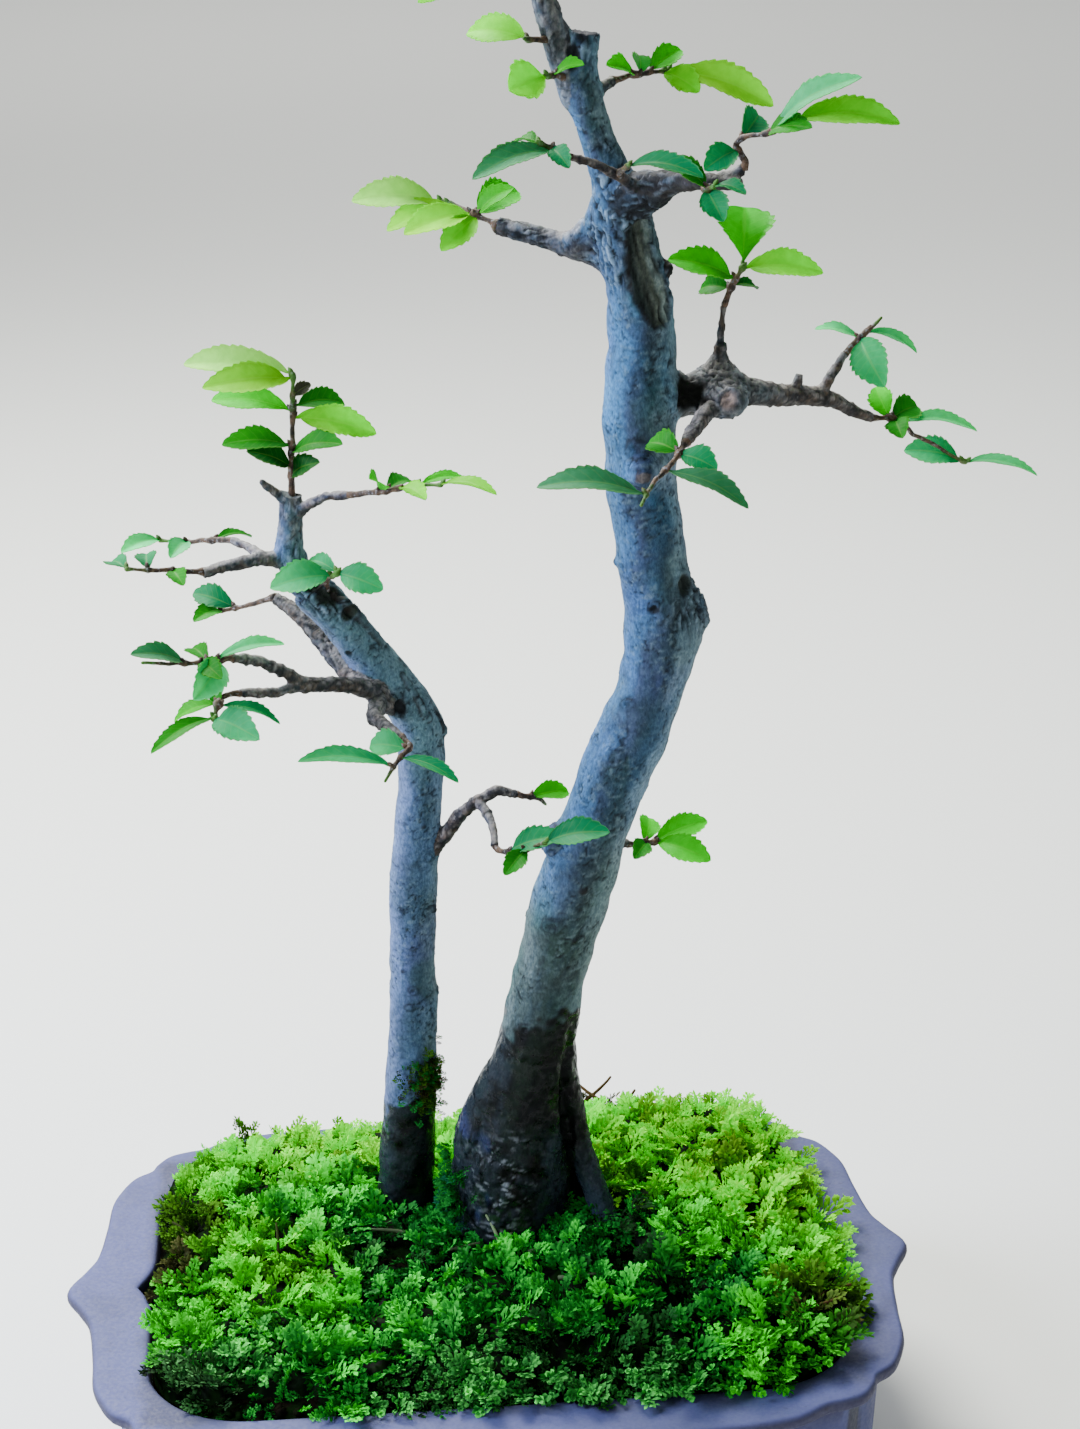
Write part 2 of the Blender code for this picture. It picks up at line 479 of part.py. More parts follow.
def moss_cells():
    """Covered cells, with none that meets the rest only at a corner."""
    columns, rows = BED_CELLS
    covered = set()
    for i in range(columns):
        for j in range(rows):
            x, y = bed_point((2 * i + 1) / columns - 1, (2 * j + 1) / rows - 1, BED_INSET)
            if not is_bare(x, y):
                covered.add((i, j))
    changed = True
    while changed:
        changed = False
        for i in range(columns - 1):
            for j in range(rows - 1):
                square = [(i, j), (i + 1, j), (i + 1, j + 1), (i, j + 1)]
                held = [cell in covered for cell in square]
                if held in ([True, False, True, False], [False, True, False, True]):
                    covered -= set(square)
                    changed = True
    return covered


def make_moss():
    """A carpet of pointed tufts, one to a cell, on an underside that follows the soil."""
    rng = random.Random(11)
    columns, rows = BED_CELLS
    grid, covered = bed_grid(), moss_cells()
    verts, top, bottom = [], {}, {}
    faces = []

    def corner(i, j):
        if (i, j) not in top:
            x, y = grid[i][j]
            bottom[i, j] = len(verts)
            verts.append(above_rim((x, y, mound(x, y) + MOSS_CLEARANCE)))
            wander = 0 if i in (0, columns) or j in (0, rows) else VALLEY_WANDER
            x += rng.uniform(-wander, wander)
            y += rng.uniform(-wander, wander)
            valley = mound(x, y) + MOSS_CLEARANCE + MOSS_VALLEY * rng.uniform(0.7, 1.6)
            top[i, j] = len(verts)
            verts.append(above_rim((x, y, valley)))
        return top[i, j], bottom[i, j]

    for i, j in sorted(covered):
        cell = [(i, j), (i + 1, j), (i + 1, j + 1), (i, j + 1)]
        ring = [corner(*c) for c in cell]
        x = sum(grid[a][b][0] for a, b in cell) / 4
        y = sum(grid[a][b][1] for a, b in cell) / 4
        cushion = 1 + 0.25 * math.sin(x / 9.0) * math.cos(y / 7.5)
        height = rng.uniform(*TUFT_HEIGHT) * cushion
        tip = len(verts)
        verts.append(above_rim((x + rng.uniform(-TUFT_LEAN, TUFT_LEAN),
                                y + rng.uniform(-TUFT_LEAN, TUFT_LEAN), mound(x, y) + height)))
        for k, neighbour in enumerate([(i, j - 1), (i + 1, j), (i, j + 1), (i - 1, j)]):
            (top_a, low_a), (top_b, low_b) = ring[k], ring[(k + 1) % 4]
            faces.append((top_a, top_b, tip))
            if neighbour not in covered:
                faces.append((low_a, low_b, top_b, top_a))
        a, b, c, d = (low for _, low in ring)
        faces += [(c, b, a), (d, c, a)]
    moss = new_object("moss", verts, faces)
    material(moss, "feather_moss", (0.10, 0.36, 0.02), 0.85)


# Wood

def limb(name, points, sides, seed=0, rough=0.0, extra=0.0):
    """A tapering limb through (x, y, z, radius) points, with flat ends."""
    rng = random.Random(seed)
    phase = [rng.uniform(0, 2 * math.pi) for _ in range(2)]
    centres = [above_rim(p) for p in points]
    across = Vector((0, 1, 0))
    loops = []
    for k, centre in enumerate(centres):
        before, after = centres[max(k - 1, 0)], centres[min(k + 1, len(centres) - 1)]
        along = (after - before).normalized()
        across = (across - along * across.dot(along)).normalized()
        third = along.cross(across)
        radius = (points[k][3] + extra) * MM
        loop = []
        for s in range(sides):
            angle = 2 * math.pi * s / sides
            bump = (0.6 * math.sin(2 * angle + phase[0] + 0.4 * k)
                    + 0.4 * math.sin(3 * angle + phase[1] - 0.5 * k))
            reach = radius * (1 + rough * (bump + rng.uniform(-0.4, 0.4)))
            loop.append(centre + reach * (math.cos(angle) * across + math.sin(angle) * third))
        loops.append(loop)
    return skin_loops(name, loops)


def seat_points(spray):
    """The last of the wood before a spray: in line with its twig and ending just under it."""
    start, following = Vector(spray["twig"][0]), Vector(spray["twig"][1])
    along = (following - start).normalized()
    return [(*(start - along * back), SPUR_RADIUS) for back in (GAP + 0.9, GAP)]


def make_trunk(name, kind, trunk, sides, limbs, seed):
    """One trunk with all its wood: roots, branches, knots and the spurs of its sprays."""
    wood = limb(name, trunk, sides, seed, rough=0.05)
    sprays = [spray for spray in SPRAYS.values() if spray["trunk"] == kind]
    seats = {spray["at"]: seat_points(spray) for spray in sprays}
    parts = []
    for number, (limb_name, points) in enumerate(limbs.items()):
        thick = max(p[3] for p in points)
        points = points + seats.pop(limb_name, [])
        parts.append(limb("limb", points, 8 if thick > 3 else 6, seed + number, rough=0.04))
    for anchor, seat in seats.items():
        parts.append(limb("spur", [(*anchor, SPUR_RADIUS), *seat], 5))
    combine(wood, parts, "UNION")
    material(wood, "elm_bark", (0.16, 0.18, 0.24), 0.8)


def stem_cutters():
    """The trunks' feet, a clearance larger all round, to cut their holes in the soil."""
    feet = [LARGE_TRUNK[3::-1], SMALL_TRUNK[3::-1], *LARGE_ROOTS.values()]
    cutters = []
    for points in feet:
        *_, before, (x, y, z, radius) = points
        further = (Vector((x, y, z)) - Vector(before[:3])).normalized() * 2 * GAP
        deeper = (x + further.x, y + further.y, z + further.z, radius)
        cutters.append(limb("cutter", [*points, deeper], 10, extra=STEM_CLEARANCE))
    return cutters


# Leafy sprays

def point_along(points, share):
    """The point at a share of a polyline's length."""
    points = [Vector(p) for p in points]
    lengths = [(b - a).length for a, b in zip(points, points[1:])]
    left = share * sum(lengths)
    for a, b, length in zip(points, points[1:], lengths):
        if left <= length:
            return a.lerp(b, left / length)
        left -= length
    return points[-1]


def leaf_frame(heading, rise, turn):
    """A leaf's own axes: along its midrib, across it and out of its upper face."""
    heading, rise = math.radians(heading), math.radians(rise)
    along = Vector((math.cos(heading) * math.cos(rise), math.sin(heading) * math.cos(rise),
                    math.sin(rise)))
    up = Vector(LEAF_FACING)
    up = (up - along * up.dot(along)).normalized()
    turned = [Matrix.Rotation(math.radians(t), 3, along) @ up for t in (turn, -turn)]
    up = min(turned, key=lambda v: v.y)
    return along, up.cross(along), up


def leaf_edge(teeth, length, width):
    """One side of a toothed leaf as (place along the midrib, distance from it), base to tip."""
    edge = [(0.0, STALK_WIDTH / 2)]
    steps = 2 * teeth - 1
    for k in range(steps):
        along = 0.2 + 0.72 * k / (steps - 1)
        half = width / 2 * math.sin(math.pi * along ** 0.85) ** 0.75
        half *= 1.0 if k % 2 == 0 else 0.86
        edge.append((along * length, half))
    return edge


def make_leaf(base, heading, rise, length, width, turn):
    """A folded, arched blade with toothed edges, of one thickness and closed."""
    teeth = 3 if length > 11 else 2
    along, across, up = leaf_frame(heading, rise, turn)
    edge = leaf_edge(teeth, length, width)

    def place(distance, side):
        share = distance / length
        lift = length * (LEAF_ARCH * math.sin(math.pi * share) - LEAF_DROOP * share ** 2)
        lift += LEAF_FOLD * abs(side)
        return above_rim(base + along * distance + across * side + up * lift)

    left = [place(d, s) for d, s in edge]
    right = [place(d, -s) for d, s in edge]
    rib_places = (0.42 * length, 0.76 * length, length)
    rib = [place(d, 0) for d in rib_places]
    upper = left + right + rib
    count = len(edge)
    tip = 2 * count + len(rib) - 1
    triangles = [(0, count, 2 * count)]

    def stitch(side_start, flip):
        side = [side_start + k for k in range(count)] + [tip]
        side_at = [d for d, _ in edge] + [length]
        middle = [2 * count, 2 * count + 1, tip]
        i = j = 0
        while side[i] != tip or middle[j] != tip:
            if middle[j] == tip or (side[i] != tip and side_at[i + 1] <= rib_places[j + 1]):
                corners = (side[i], middle[j], side[i + 1])
                i += 1
            else:
                corners = (side[i], middle[j], middle[j + 1])
                j += 1
            if len(set(corners)) == 3:
                triangles.append(corners[::-1] if flip else corners)

    stitch(0, False)
    stitch(count, True)
    total = len(upper)
    lower = [v - up * BLADE * MM for v in upper]
    faces = list(triangles) + [tuple(i + total for i in t[::-1]) for t in triangles]
    border = [k for k in range(count)] + [tip] + [count + k for k in reversed(range(count))]
    for a, b in zip(border, border[1:] + border[:1]):
        faces.append((a, b, b + total, a + total))
    return new_object("leaf", upper + lower, faces)


def make_spray(name, spray):
    """A twig with its leaves, joined into one body."""
    points = spray["twig"]
    thick, thin = TWIG_RADIUS
    twig = [(*p, thick + (thin - thick) * k / (len(points) - 1)) for k, p in enumerate(points)]
    body = limb(name, twig, TWIG_SIDES)
    leaves = [make_leaf(point_along(points, at), heading, rise, length, width, turn)
              for at, heading, rise, length, width, turn in spray["leaves"]]
    combine(body, leaves, "UNION")
    material(body, "elm_leaf", (0.10, 0.42, 0.06), 0.5)


def centre_on_footprint():
    """Moves everything so that the origin is under the middle of the whole bonsai."""
    bpy.context.view_layer.update()
    corners = [obj.matrix_world @ v.co for obj in bpy.data.objects if obj.type == "MESH"
               for v in obj.data.vertices]
    middle_x = (min(c.x for c in corners) + max(c.x for c in corners)) / 2
    middle_y = (min(c.y for c in corners) + max(c.y for c in corners)) / 2
    for obj in bpy.data.objects:
        obj.data.transform(Matrix.Translation((-middle_x, -middle_y, 0)))


def main():
    for obj in list(bpy.data.objects):
        bpy.data.objects.remove(obj)
    make_pot()
    make_screen("drain_screen_right", DRAIN_X)
    make_screen("drain_screen_left", -DRAIN_X)
    make_soil(stem_cutters())
    make_moss()
    make_trunk("trunk_large", "large", LARGE_TRUNK, 12, LARGE_ROOTS | LARGE_LIMBS, 1)
    make_trunk("trunk_small", "small", SMALL_TRUNK, 10, SMALL_LIMBS, 2)
    for name, spray in SPRAYS.items():
        make_spray("spray_" + name, spray)
    centre_on_footprint()


main()
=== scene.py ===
import math

import bpy
import numpy as np
from mathutils import Matrix, Vector
from mathutils.kdtree import KDTree


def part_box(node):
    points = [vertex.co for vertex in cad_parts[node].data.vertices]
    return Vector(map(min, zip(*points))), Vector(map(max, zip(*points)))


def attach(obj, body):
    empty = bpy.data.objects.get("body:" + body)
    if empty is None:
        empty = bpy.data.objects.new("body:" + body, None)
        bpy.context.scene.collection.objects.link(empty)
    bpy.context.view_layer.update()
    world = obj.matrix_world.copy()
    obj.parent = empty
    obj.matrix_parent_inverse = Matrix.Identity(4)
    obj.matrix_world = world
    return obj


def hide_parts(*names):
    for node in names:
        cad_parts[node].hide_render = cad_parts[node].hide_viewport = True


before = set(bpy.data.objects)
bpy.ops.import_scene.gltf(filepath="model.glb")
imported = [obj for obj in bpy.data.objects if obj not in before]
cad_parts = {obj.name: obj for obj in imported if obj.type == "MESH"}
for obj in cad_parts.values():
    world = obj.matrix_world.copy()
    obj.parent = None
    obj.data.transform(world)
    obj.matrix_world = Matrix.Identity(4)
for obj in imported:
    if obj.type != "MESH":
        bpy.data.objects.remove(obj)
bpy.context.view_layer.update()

print("frame loaded:", len(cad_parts), "nodes")

# Every list below is in millimetres from the middle of the rim's flat top:
# X to the right, Y away from the viewer and Z up
mm = 0.001
potLow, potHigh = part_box("pot")
rimMiddle = np.array([(potLow.x + potHigh.x) / 2, (potLow.y + potHigh.y) / 2, potHigh.z])
potHeight = (potHigh.z - potLow.z) / mm


# Helpers for meshes

def inScene(points):
    return np.asarray(points, float) * mm + rimMiddle


def buildMesh(name, points, faceGroups, smooth=True):
    # faceGroups holds arrays of faces, each array with one number of corners
    groups = [np.asarray(group, np.int32) for group in faceGroups if len(group)]
    corners = np.concatenate([group.ravel() for group in groups])
    sizes = np.concatenate([np.full(len(group), group.shape[1], np.int32) for group in groups])
    mesh = bpy.data.meshes.new(name)
    mesh.vertices.add(len(points))
    mesh.vertices.foreach_set("co", inScene(points).astype(np.float32).ravel())
    mesh.loops.add(len(corners))
    mesh.loops.foreach_set("vertex_index", corners)
    mesh.polygons.add(len(sizes))
    mesh.polygons.foreach_set("loop_start", np.concatenate(([0], np.cumsum(sizes)[:-1])).astype(np.int32))
    mesh.polygons.foreach_set("use_smooth", np.full(len(sizes), smooth))
    mesh.update(calc_edges=True)
    piece = bpy.data.objects.new(name, mesh)
    bpy.context.scene.collection.objects.link(piece)
    return piece


def paint(piece, name, values):
    # one number, or one linear colour, for each point of the mesh
    values = np.asarray(values, np.float32)
    if values.ndim == 1:
        layer = piece.data.attributes.new(name, "FLOAT", "POINT")
        layer.data.foreach_set("value", values)
    else:
        layer = piece.data.attributes.new(name, "FLOAT_COLOR", "POINT")
        layer.data.foreach_set("color", np.column_stack((values[:, :3], np.ones(len(values)))).ravel())


triangleCounts = {}


def finishPiece(piece, material, slotName, *nodes):
    piece.data.materials.append(material)
    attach(piece, "root")
    if nodes:
        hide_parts(*nodes)
    piece.data.calc_loop_triangles()
    triangleCounts[piece.name] = len(piece.data.loop_triangles)


def combine(piece, others, operation):
    # one exact Boolean, applied
    for other in others:
        boolean = piece.modifiers.new("combine", "BOOLEAN")
        boolean.operation = operation
        boolean.object = other
        boolean.solver = "EXACT"
    graph = bpy.context.evaluated_depsgraph_get()
    made = bpy.data.meshes.new_from_object(piece.evaluated_get(graph))
    piece.modifiers.clear()
    piece.data = made
    for other in others:
        bpy.data.objects.remove(other)


def loft(loops, closedEnds=True):
    # points and faces of a skin through closed loops of equal length
    loops = np.asarray(loops, float)
    rows, count = loops.shape[:2]
    index = np.arange(rows * count).reshape(rows, count)
    a, b = index[:-1], np.roll(index, -1, 1)[:-1]
    c, d = np.roll(index, -1, 1)[1:], index[1:]
    faces = [np.stack((a, b, c, d), -1).reshape(-1, 4)]
    if closedEnds:
        faces += [index[:1, ::-1], index[-1:]]
    return loops.reshape(-1, 3), faces


def joinShapes(shapes):
    # several (points, faces) as one
    points, groups, start = [], {}, 0
    for shapePoints, faceGroups in shapes:
        points.append(shapePoints)
        for group in faceGroups:
            group = np.asarray(group)
            groups.setdefault(group.shape[1], []).append(group + start)
        start += len(shapePoints)
    return np.concatenate(points), [np.concatenate(group) for group in groups.values()]


def smoothClosed(points, steps):
    # a smooth closed line through the points, its speed set by their spacing
    points = np.array(points, float)
    ahead, back = np.roll(points, -1, 0), np.roll(points, 1, 0)
    gap = np.linalg.norm(ahead - points, axis=1)[:, None]
    tangent = (ahead - back) / (gap + np.roll(gap, 1, 0))
    line = []
    for t in np.arange(steps) / steps:
        line.append((2 * t**3 - 3 * t**2 + 1) * points + (t**3 - 2 * t**2 + t) * gap * tangent
                    + (3 * t**2 - 2 * t**3) * ahead + (t**3 - t**2) * gap * np.roll(tangent, -1, 0))
    return np.stack(line, 1).reshape(-1, points.shape[1])


def smoothOpen(points, spacing):
    # a smooth open line through (x, y, z, radius) points, resampled at about that spacing
    points = np.array(points, float)
    before = np.vstack((2 * points[0] - points[1], points))
    after = np.vstack((points, 2 * points[-1] - points[-2]))
    gap = np.linalg.norm(np.diff(points[:, :3], axis=0), axis=1)
    line = []
    for k in range(len(points) - 1):
        p, q = points[k], points[k + 1]
        tangentP = (after[k + 1] - before[k]) / (gap[max(k - 1, 0)] + gap[k])
        tangentQ = (after[k + 2] - before[k + 1]) / (gap[k] + gap[min(k + 1, len(gap) - 1)])
        steps = max(1, int(round(gap[k] / spacing)))
        for t in np.arange(steps) / steps:
            line.append((2 * t**3 - 3 * t**2 + 1) * p + (t**3 - 2 * t**2 + t) * gap[k] * tangentP
                        + (3 * t**2 - 2 * t**3) * q + (t**3 - t**2) * gap[k] * tangentQ)
    line.append(points[-1])
    return np.array(line)


def unit(vectors):
    return vectors / np.maximum(np.linalg.norm(vectors, axis=-1, keepdims=True), 1e-9)


# Helpers for noise

gradients = np.array([(1, 1, 0), (-1, 1, 0), (1, -1, 0), (-1, -1, 0), (1, 0, 1), (-1, 0, 1), (1, 0, -1),
                      (-1, 0, -1), (0, 1, 1), (0, -1, 1), (0, 1, -1), (0, -1, -1), (1, 1, 0), (0, -1, 1),
                      (-1, 1, 0), (0, -1, -1)])

latticeTurn = np.linalg.qr(np.random.default_rng(3).normal(size=(3, 3)))[0]


def noise(points, size, seed=0):
    # smooth gradient noise from -1 to 1, with features of about that size
    places = (np.asarray(points, float) / size) @ latticeTurn
    cell = np.floor(places).astype(np.int64)
    share = places - cell
    fade = share**3 * (share * (share * 6 - 15) + 10)
    total = 0
    for corner in range(8):
        step = np.array([corner & 1, corner >> 1 & 1, corner >> 2])
        x, y, z = (cell + step).T
        mixedUp = (x * 374761393 + y * 668265263 + z * 1440662683 + seed * 974634777) & 0xFFFFFFFF
        mixedUp = ((mixedUp ^ (mixedUp >> 13)) * 1274126177) & 0xFFFFFFFF
        slope = gradients[(mixedUp ^ (mixedUp >> 16)) & 15]
        weight = np.prod(np.where(step, fade, 1 - fade), axis=1)
        total = total + weight * np.einsum("ij,ij->i", share - step, slope)
    return np.clip(1.5 * total, -1, 1)


def creases(points, size, seed=0):
    # 1 along thin wandering lines and 0 between them
    return 1 - np.abs(noise(points, size, seed))


def smoothStep(low, high, values):
    share = np.clip((values - low) / (high - low), 0, 1)
    return share * share * (3 - 2 * share)


def mixed(first, second, share):
    return first + (second - first) * np.asarray(share)[:, None]


# Helpers for materials

def linear(hexColour):
    channels = [int(hexColour[k:k + 2], 16) / 255 for k in (1, 3, 5)]
    return np.array([c / 12.92 if c <= 0.04045 else ((c + 0.055) / 1.055)**2.4 for c in channels])


def rgba(hexColour):
    return (*linear(hexColour), 1)


def setNode(tree, node, settings):
    # each setting is a value, a socket to link from, or a node whose first output in use is linked
    for name, value in settings.items():
        if isinstance(value, bpy.types.Node):
            value = next(output for output in value.outputs if output.enabled)
        if isinstance(value, bpy.types.NodeSocket):
            tree.links.new(value, node.inputs[name])
        elif isinstance(name, int) or name in node.inputs.keys():
            node.inputs[name].default_value = value
        else:
            setattr(node, name, value)


def addNode(tree, kind, settings):
    node = tree.nodes.new("ShaderNode" + kind)
    setNode(tree, node, settings)
    return node


def startMaterial(name, settings):
    # the material, its nodes, its shader and the object's own coordinates, in metres
    material = bpy.data.materials.new(name)
    material.use_nodes = True
    tree = material.node_tree
    shader = tree.nodes["Principled BSDF"]
    setNode(tree, shader, settings)
    return material, tree, shader, addNode(tree, "TexCoord", {}).outputs["Object"]


# Settings that several nodes share: an eased range, a mix of colours, and one that multiplies them
eased = {"interpolation_type": "SMOOTHSTEP"}
colourMix = {"data_type": "RGBA"}
colourProduct = {"data_type": "RGBA", "blend_type": "MULTIPLY", 0: 1.0}


# Camera: the photograph's viewing angle, a little above and to the left of the tree

view = dict(tilt=21.5, roll=1.0, pan=4.3, place=(-29, -570, 365), focalPixels=2800, longSide=1429)


def makeCamera():
    tilt, roll, pan = (math.radians(view[key]) for key in ("tilt", "roll", "pan"))
    forward = Vector((math.sin(pan) * math.cos(tilt), math.cos(pan) * math.cos(tilt), -math.sin(tilt)))
    right = Vector((math.cos(pan), -math.sin(pan), 0))
    up = right.cross(forward)
    rolledRight = math.cos(roll) * right - math.sin(roll) * up
    rolledUp = math.sin(roll) * right + math.cos(roll) * up
    data = bpy.data.cameras.new("camera")
    data.sensor_fit = "VERTICAL"
    data.sensor_height = 36
    data.lens = view["focalPixels"] / view["longSide"] * 36
    data.clip_start, data.clip_end = 0.01, 20
    camera = bpy.data.objects.new("camera", data)
    turn = Matrix((rolledRight, rolledUp, -forward)).transposed().to_4x4()
    camera.matrix_world = Matrix.Translation(Vector(inScene(view["place"]))) @ turn
    bpy.context.scene.collection.objects.link(camera)
    bpy.context.scene.camera = camera


# Pale floor and soft light

studio = dict(
    floorHalf=3.0, floorColour="#e8e8e4", floorRoughness=0.6,
    wallColour="#dfe6ec", wallStrength=0.36,
    # place and aim in metres, size in metres, watts, colour
    lamps=[dict(name="key_left", place=(-0.56, -0.1, 0.52), aim=(0, 0, 0.15), size=0.35, power=11,
                colour="#dbe6ff"),
           dict(name="back_high", place=(-0.32, 0.55, 0.92), aim=(0, 0, 0.15), size=0.6, power=29,
                colour="#fbfdf6"),
           dict(name="fill_front", place=(0.35, -0.9, 0.7), aim=(0, 0, 0.15), size=0.8, power=2,
                colour="#e6f0f4"),
           dict(name="far_floor", place=(0, 2.4, 1.7), aim=(0, 2.4, 0), size=1.8, power=40,
                colour="#f6f6f2")])


def makeStudio():
    half = studio["floorHalf"]
    mesh = bpy.data.meshes.new("floor")
    mesh.from_pydata([(-half, -half, 0), (half, -half, 0), (half, half, 0), (-half, half, 0)], [],
                     [(0, 1, 2, 3)])
    floor = bpy.data.objects.new("floor", mesh)
    bpy.context.scene.collection.objects.link(floor)
    board = {"Base Color": rgba(studio["floorColour"]), "Roughness": studio["floorRoughness"]}
    mesh.materials.append(startMaterial("painted_board", board)[0])
    for lamp in studio["lamps"]:
        data = bpy.data.lights.new(lamp["name"], "AREA")
        data.shape = "DISK"
        data.size = lamp["size"]
        data.energy = lamp["power"]
        data.color = linear(lamp["colour"])
        light = bpy.data.objects.new(lamp["name"], data)
        light.location = lamp["place"]
        direction = Vector(lamp["aim"]) - Vector(lamp["place"])
        light.rotation_euler = direction.to_track_quat("-Z", "Y").to_euler()
        bpy.context.scene.collection.objects.link(light)
    world = bpy.data.worlds.new("studio")
    world.use_nodes = True
    background = world.node_tree.nodes["Background"]
    background.inputs["Color"].default_value = rgba(studio["wallColour"])
    background.inputs["Strength"].default_value = studio["wallStrength"]
    bpy.context.scene.world = world


# Pot

pot = dict(
    # a quarter of the rim's outer outline, from the peak of the short side to the long side
    rimQuarter=[(100, 0), (96.5, 8), (94, 14), (92.3, 28), (91.6, 38), (90, 43.5), (87, 49.5),
                (82.8, 52.8), (81.5, 56), (78.7, 59.8), (74.4, 61.6), (70, 62.6), (65.6, 65.4),
                (62.7, 66.9), (54.5, 68.6), (49.2, 69.1), (32, 70), (14, 70.6), (0, 71.5)],
    outlineSteps=5,
    # the profile as (share of the way from the rim's outer edge to its inner one, height)
    profile=[(0.72, -43), (0.66, -42.4), (0.61, -41), (0.585, -37), (0.54, -30), (0.49, -20), (0.44, -10),
             (0.42, -6.4), (0.40, -5.2), (0.33, -4.3), (0.22, -3.8), (0.10, -3.5), (0.04, -3.1),
             (0.008, -2.5), (0.0, -1.8), (0.006, -1.1), (0.025, -0.55), (0.06, -0.15), (0.10, 0),
             (0.3, 0.0), (0.5, -0.12), (0.7, -0.12), (0.86, 0), (0.93, -0.05), (0.97, -0.25),
             (0.99, -0.6), (1.0, -1.1)],
    footQuarter=(5, 12), floorHeight=-36, bowlTaper=0.95,
    drainX=38, drainRadius=6, wobble=0.22)

bed = dict(half=(79.5, 55.5), corner=24, cusp=3.8, cuspWidth=13)


def bedPoint(u, v, inset=0.0):
    # u and v run from -1 to 1 and reach the bed's edge there
    halfX, halfY = bed["half"][0] - inset, bed["half"][1] - inset
    x, y = halfX * u, halfY * v
    cornerX, cornerY = halfX - bed["corner"], halfY - bed["corner"]
    dx, dy = np.abs(x) - cornerX, np.abs(y) - cornerY
    inCorner = (dx > 0) & (dy > 0)
    roundOff = np.where(inCorner, np.maximum(dx, dy) / np.maximum(np.hypot(dx, dy), 1e-9), 1)
    x = np.where(inCorner, np.sign(x) * (cornerX + dx * roundOff), x)
    y = np.where(inCorner, np.sign(y) * (cornerY + dy * roundOff), y)
    nearMiddle = np.maximum(0, 1 - np.abs(y) / bed["cuspWidth"])
    return x + np.sign(x) * bed["cusp"] * np.abs(u)**4 * nearMiddle**2, y


def rimOutline():
    quarter = pot["rimQuarter"]
    half = quarter + [(-x, y) for x, y in reversed(quarter[:-1])]
    return smoothClosed(half + [(-x, -y) for x, y in half[1:-1]], pot["outlineSteps"])


def innerOutline(outer):
    x, y = outer.T
    reach = np.maximum(np.abs(x) / bed["half"][0], np.abs(y) / bed["half"][1])
    return np.column_stack(bedPoint(x / bed["half"][0] / reach, y / bed["half"][1] / reach))


def cornerFoot(outer, inner, signX, signY):
    first, last = (index * pot["outlineSteps"] for index in pot["footQuarter"])
    loops = []
    sections = ((0.70, 1.26, 0.0), (0.67, 1.29, 0.25), (0.66, 1.30, 0.8), (0.66, 1.30, 7))
    for outerShare, innerShare, height in sections:
        sides = [(outer + (inner - outer) * share)[first:last + 1] for share in (outerShare, innerShare)]
        outline = np.vstack((sides[0], sides[1][::-1])) * (signX, signY)
        if signX * signY < 0:
            outline = outline[::-1]
        loops.append(np.column_stack((outline, np.full(len(outline), height - potHeight))))
    points, faces = loft(loops)
    return buildMesh("foot", points, faces)


def clayMaterial():
    # stoneware clay fired without glaze: dry, faintly sandy, lilac grey, darker round its outer lip,
    # painted darker under the lip's overhang as shade, and darker where damp soil has touched it; the sand
    # is drawn coarser than it is
    values = dict(face="#464a77", cloud="#3e4267", speckle="#29293c", edge="#282233", damp="#202024",
                  cloudMm=26, speckleMm=1.6, grainMm=0.9, grainDepthMm=0.12)
    material, tree, shader, place = startMaterial("unglazed_stoneware", {"IOR": 1.5})
    clouds, speckles, grains = (
        addNode(tree, "TexNoise", {"Vector": place, "Scale": 1 / (values[size] * mm),
                                             "Detail": detail, "Roughness": 0.55})
        for size, detail in (("cloudMm", 4), ("speckleMm", 2), ("grainMm", 4)))
    layers = dict(
        cloud=addNode(tree, "MapRange", {
            "Value": clouds, "From Min": 0.35, "From Max": 0.7, **eased}),
        speckle=addNode(tree, "MapRange", {
            "Value": speckles, "From Min": 0.62, "From Max": 0.74, "To Max": 0.35, **eased}),
        edge=addNode(tree, "Attribute", {"attribute_name": "edge"}).outputs["Fac"],
        damp=addNode(tree, "Attribute", {"attribute_name": "damp"}).outputs["Fac"])
    colour = rgba(values["face"])
    for tone, share in layers.items():
        colour = addNode(tree, "Mix", {**colourMix, 0: share, 6: colour, 7: rgba(values[tone])})
    setNode(tree, shader, {
        "Base Color": colour,
        "Roughness": addNode(tree, "MapRange", {
            "Value": grains, "From Min": 0.3, "From Max": 0.7, "To Min": 0.62, "To Max": 0.82, **eased}),
        "Normal": addNode(tree, "Bump", {
            "Height": grains, "Strength": 0.55, "Distance": values["grainDepthMm"] * mm})})
    return material


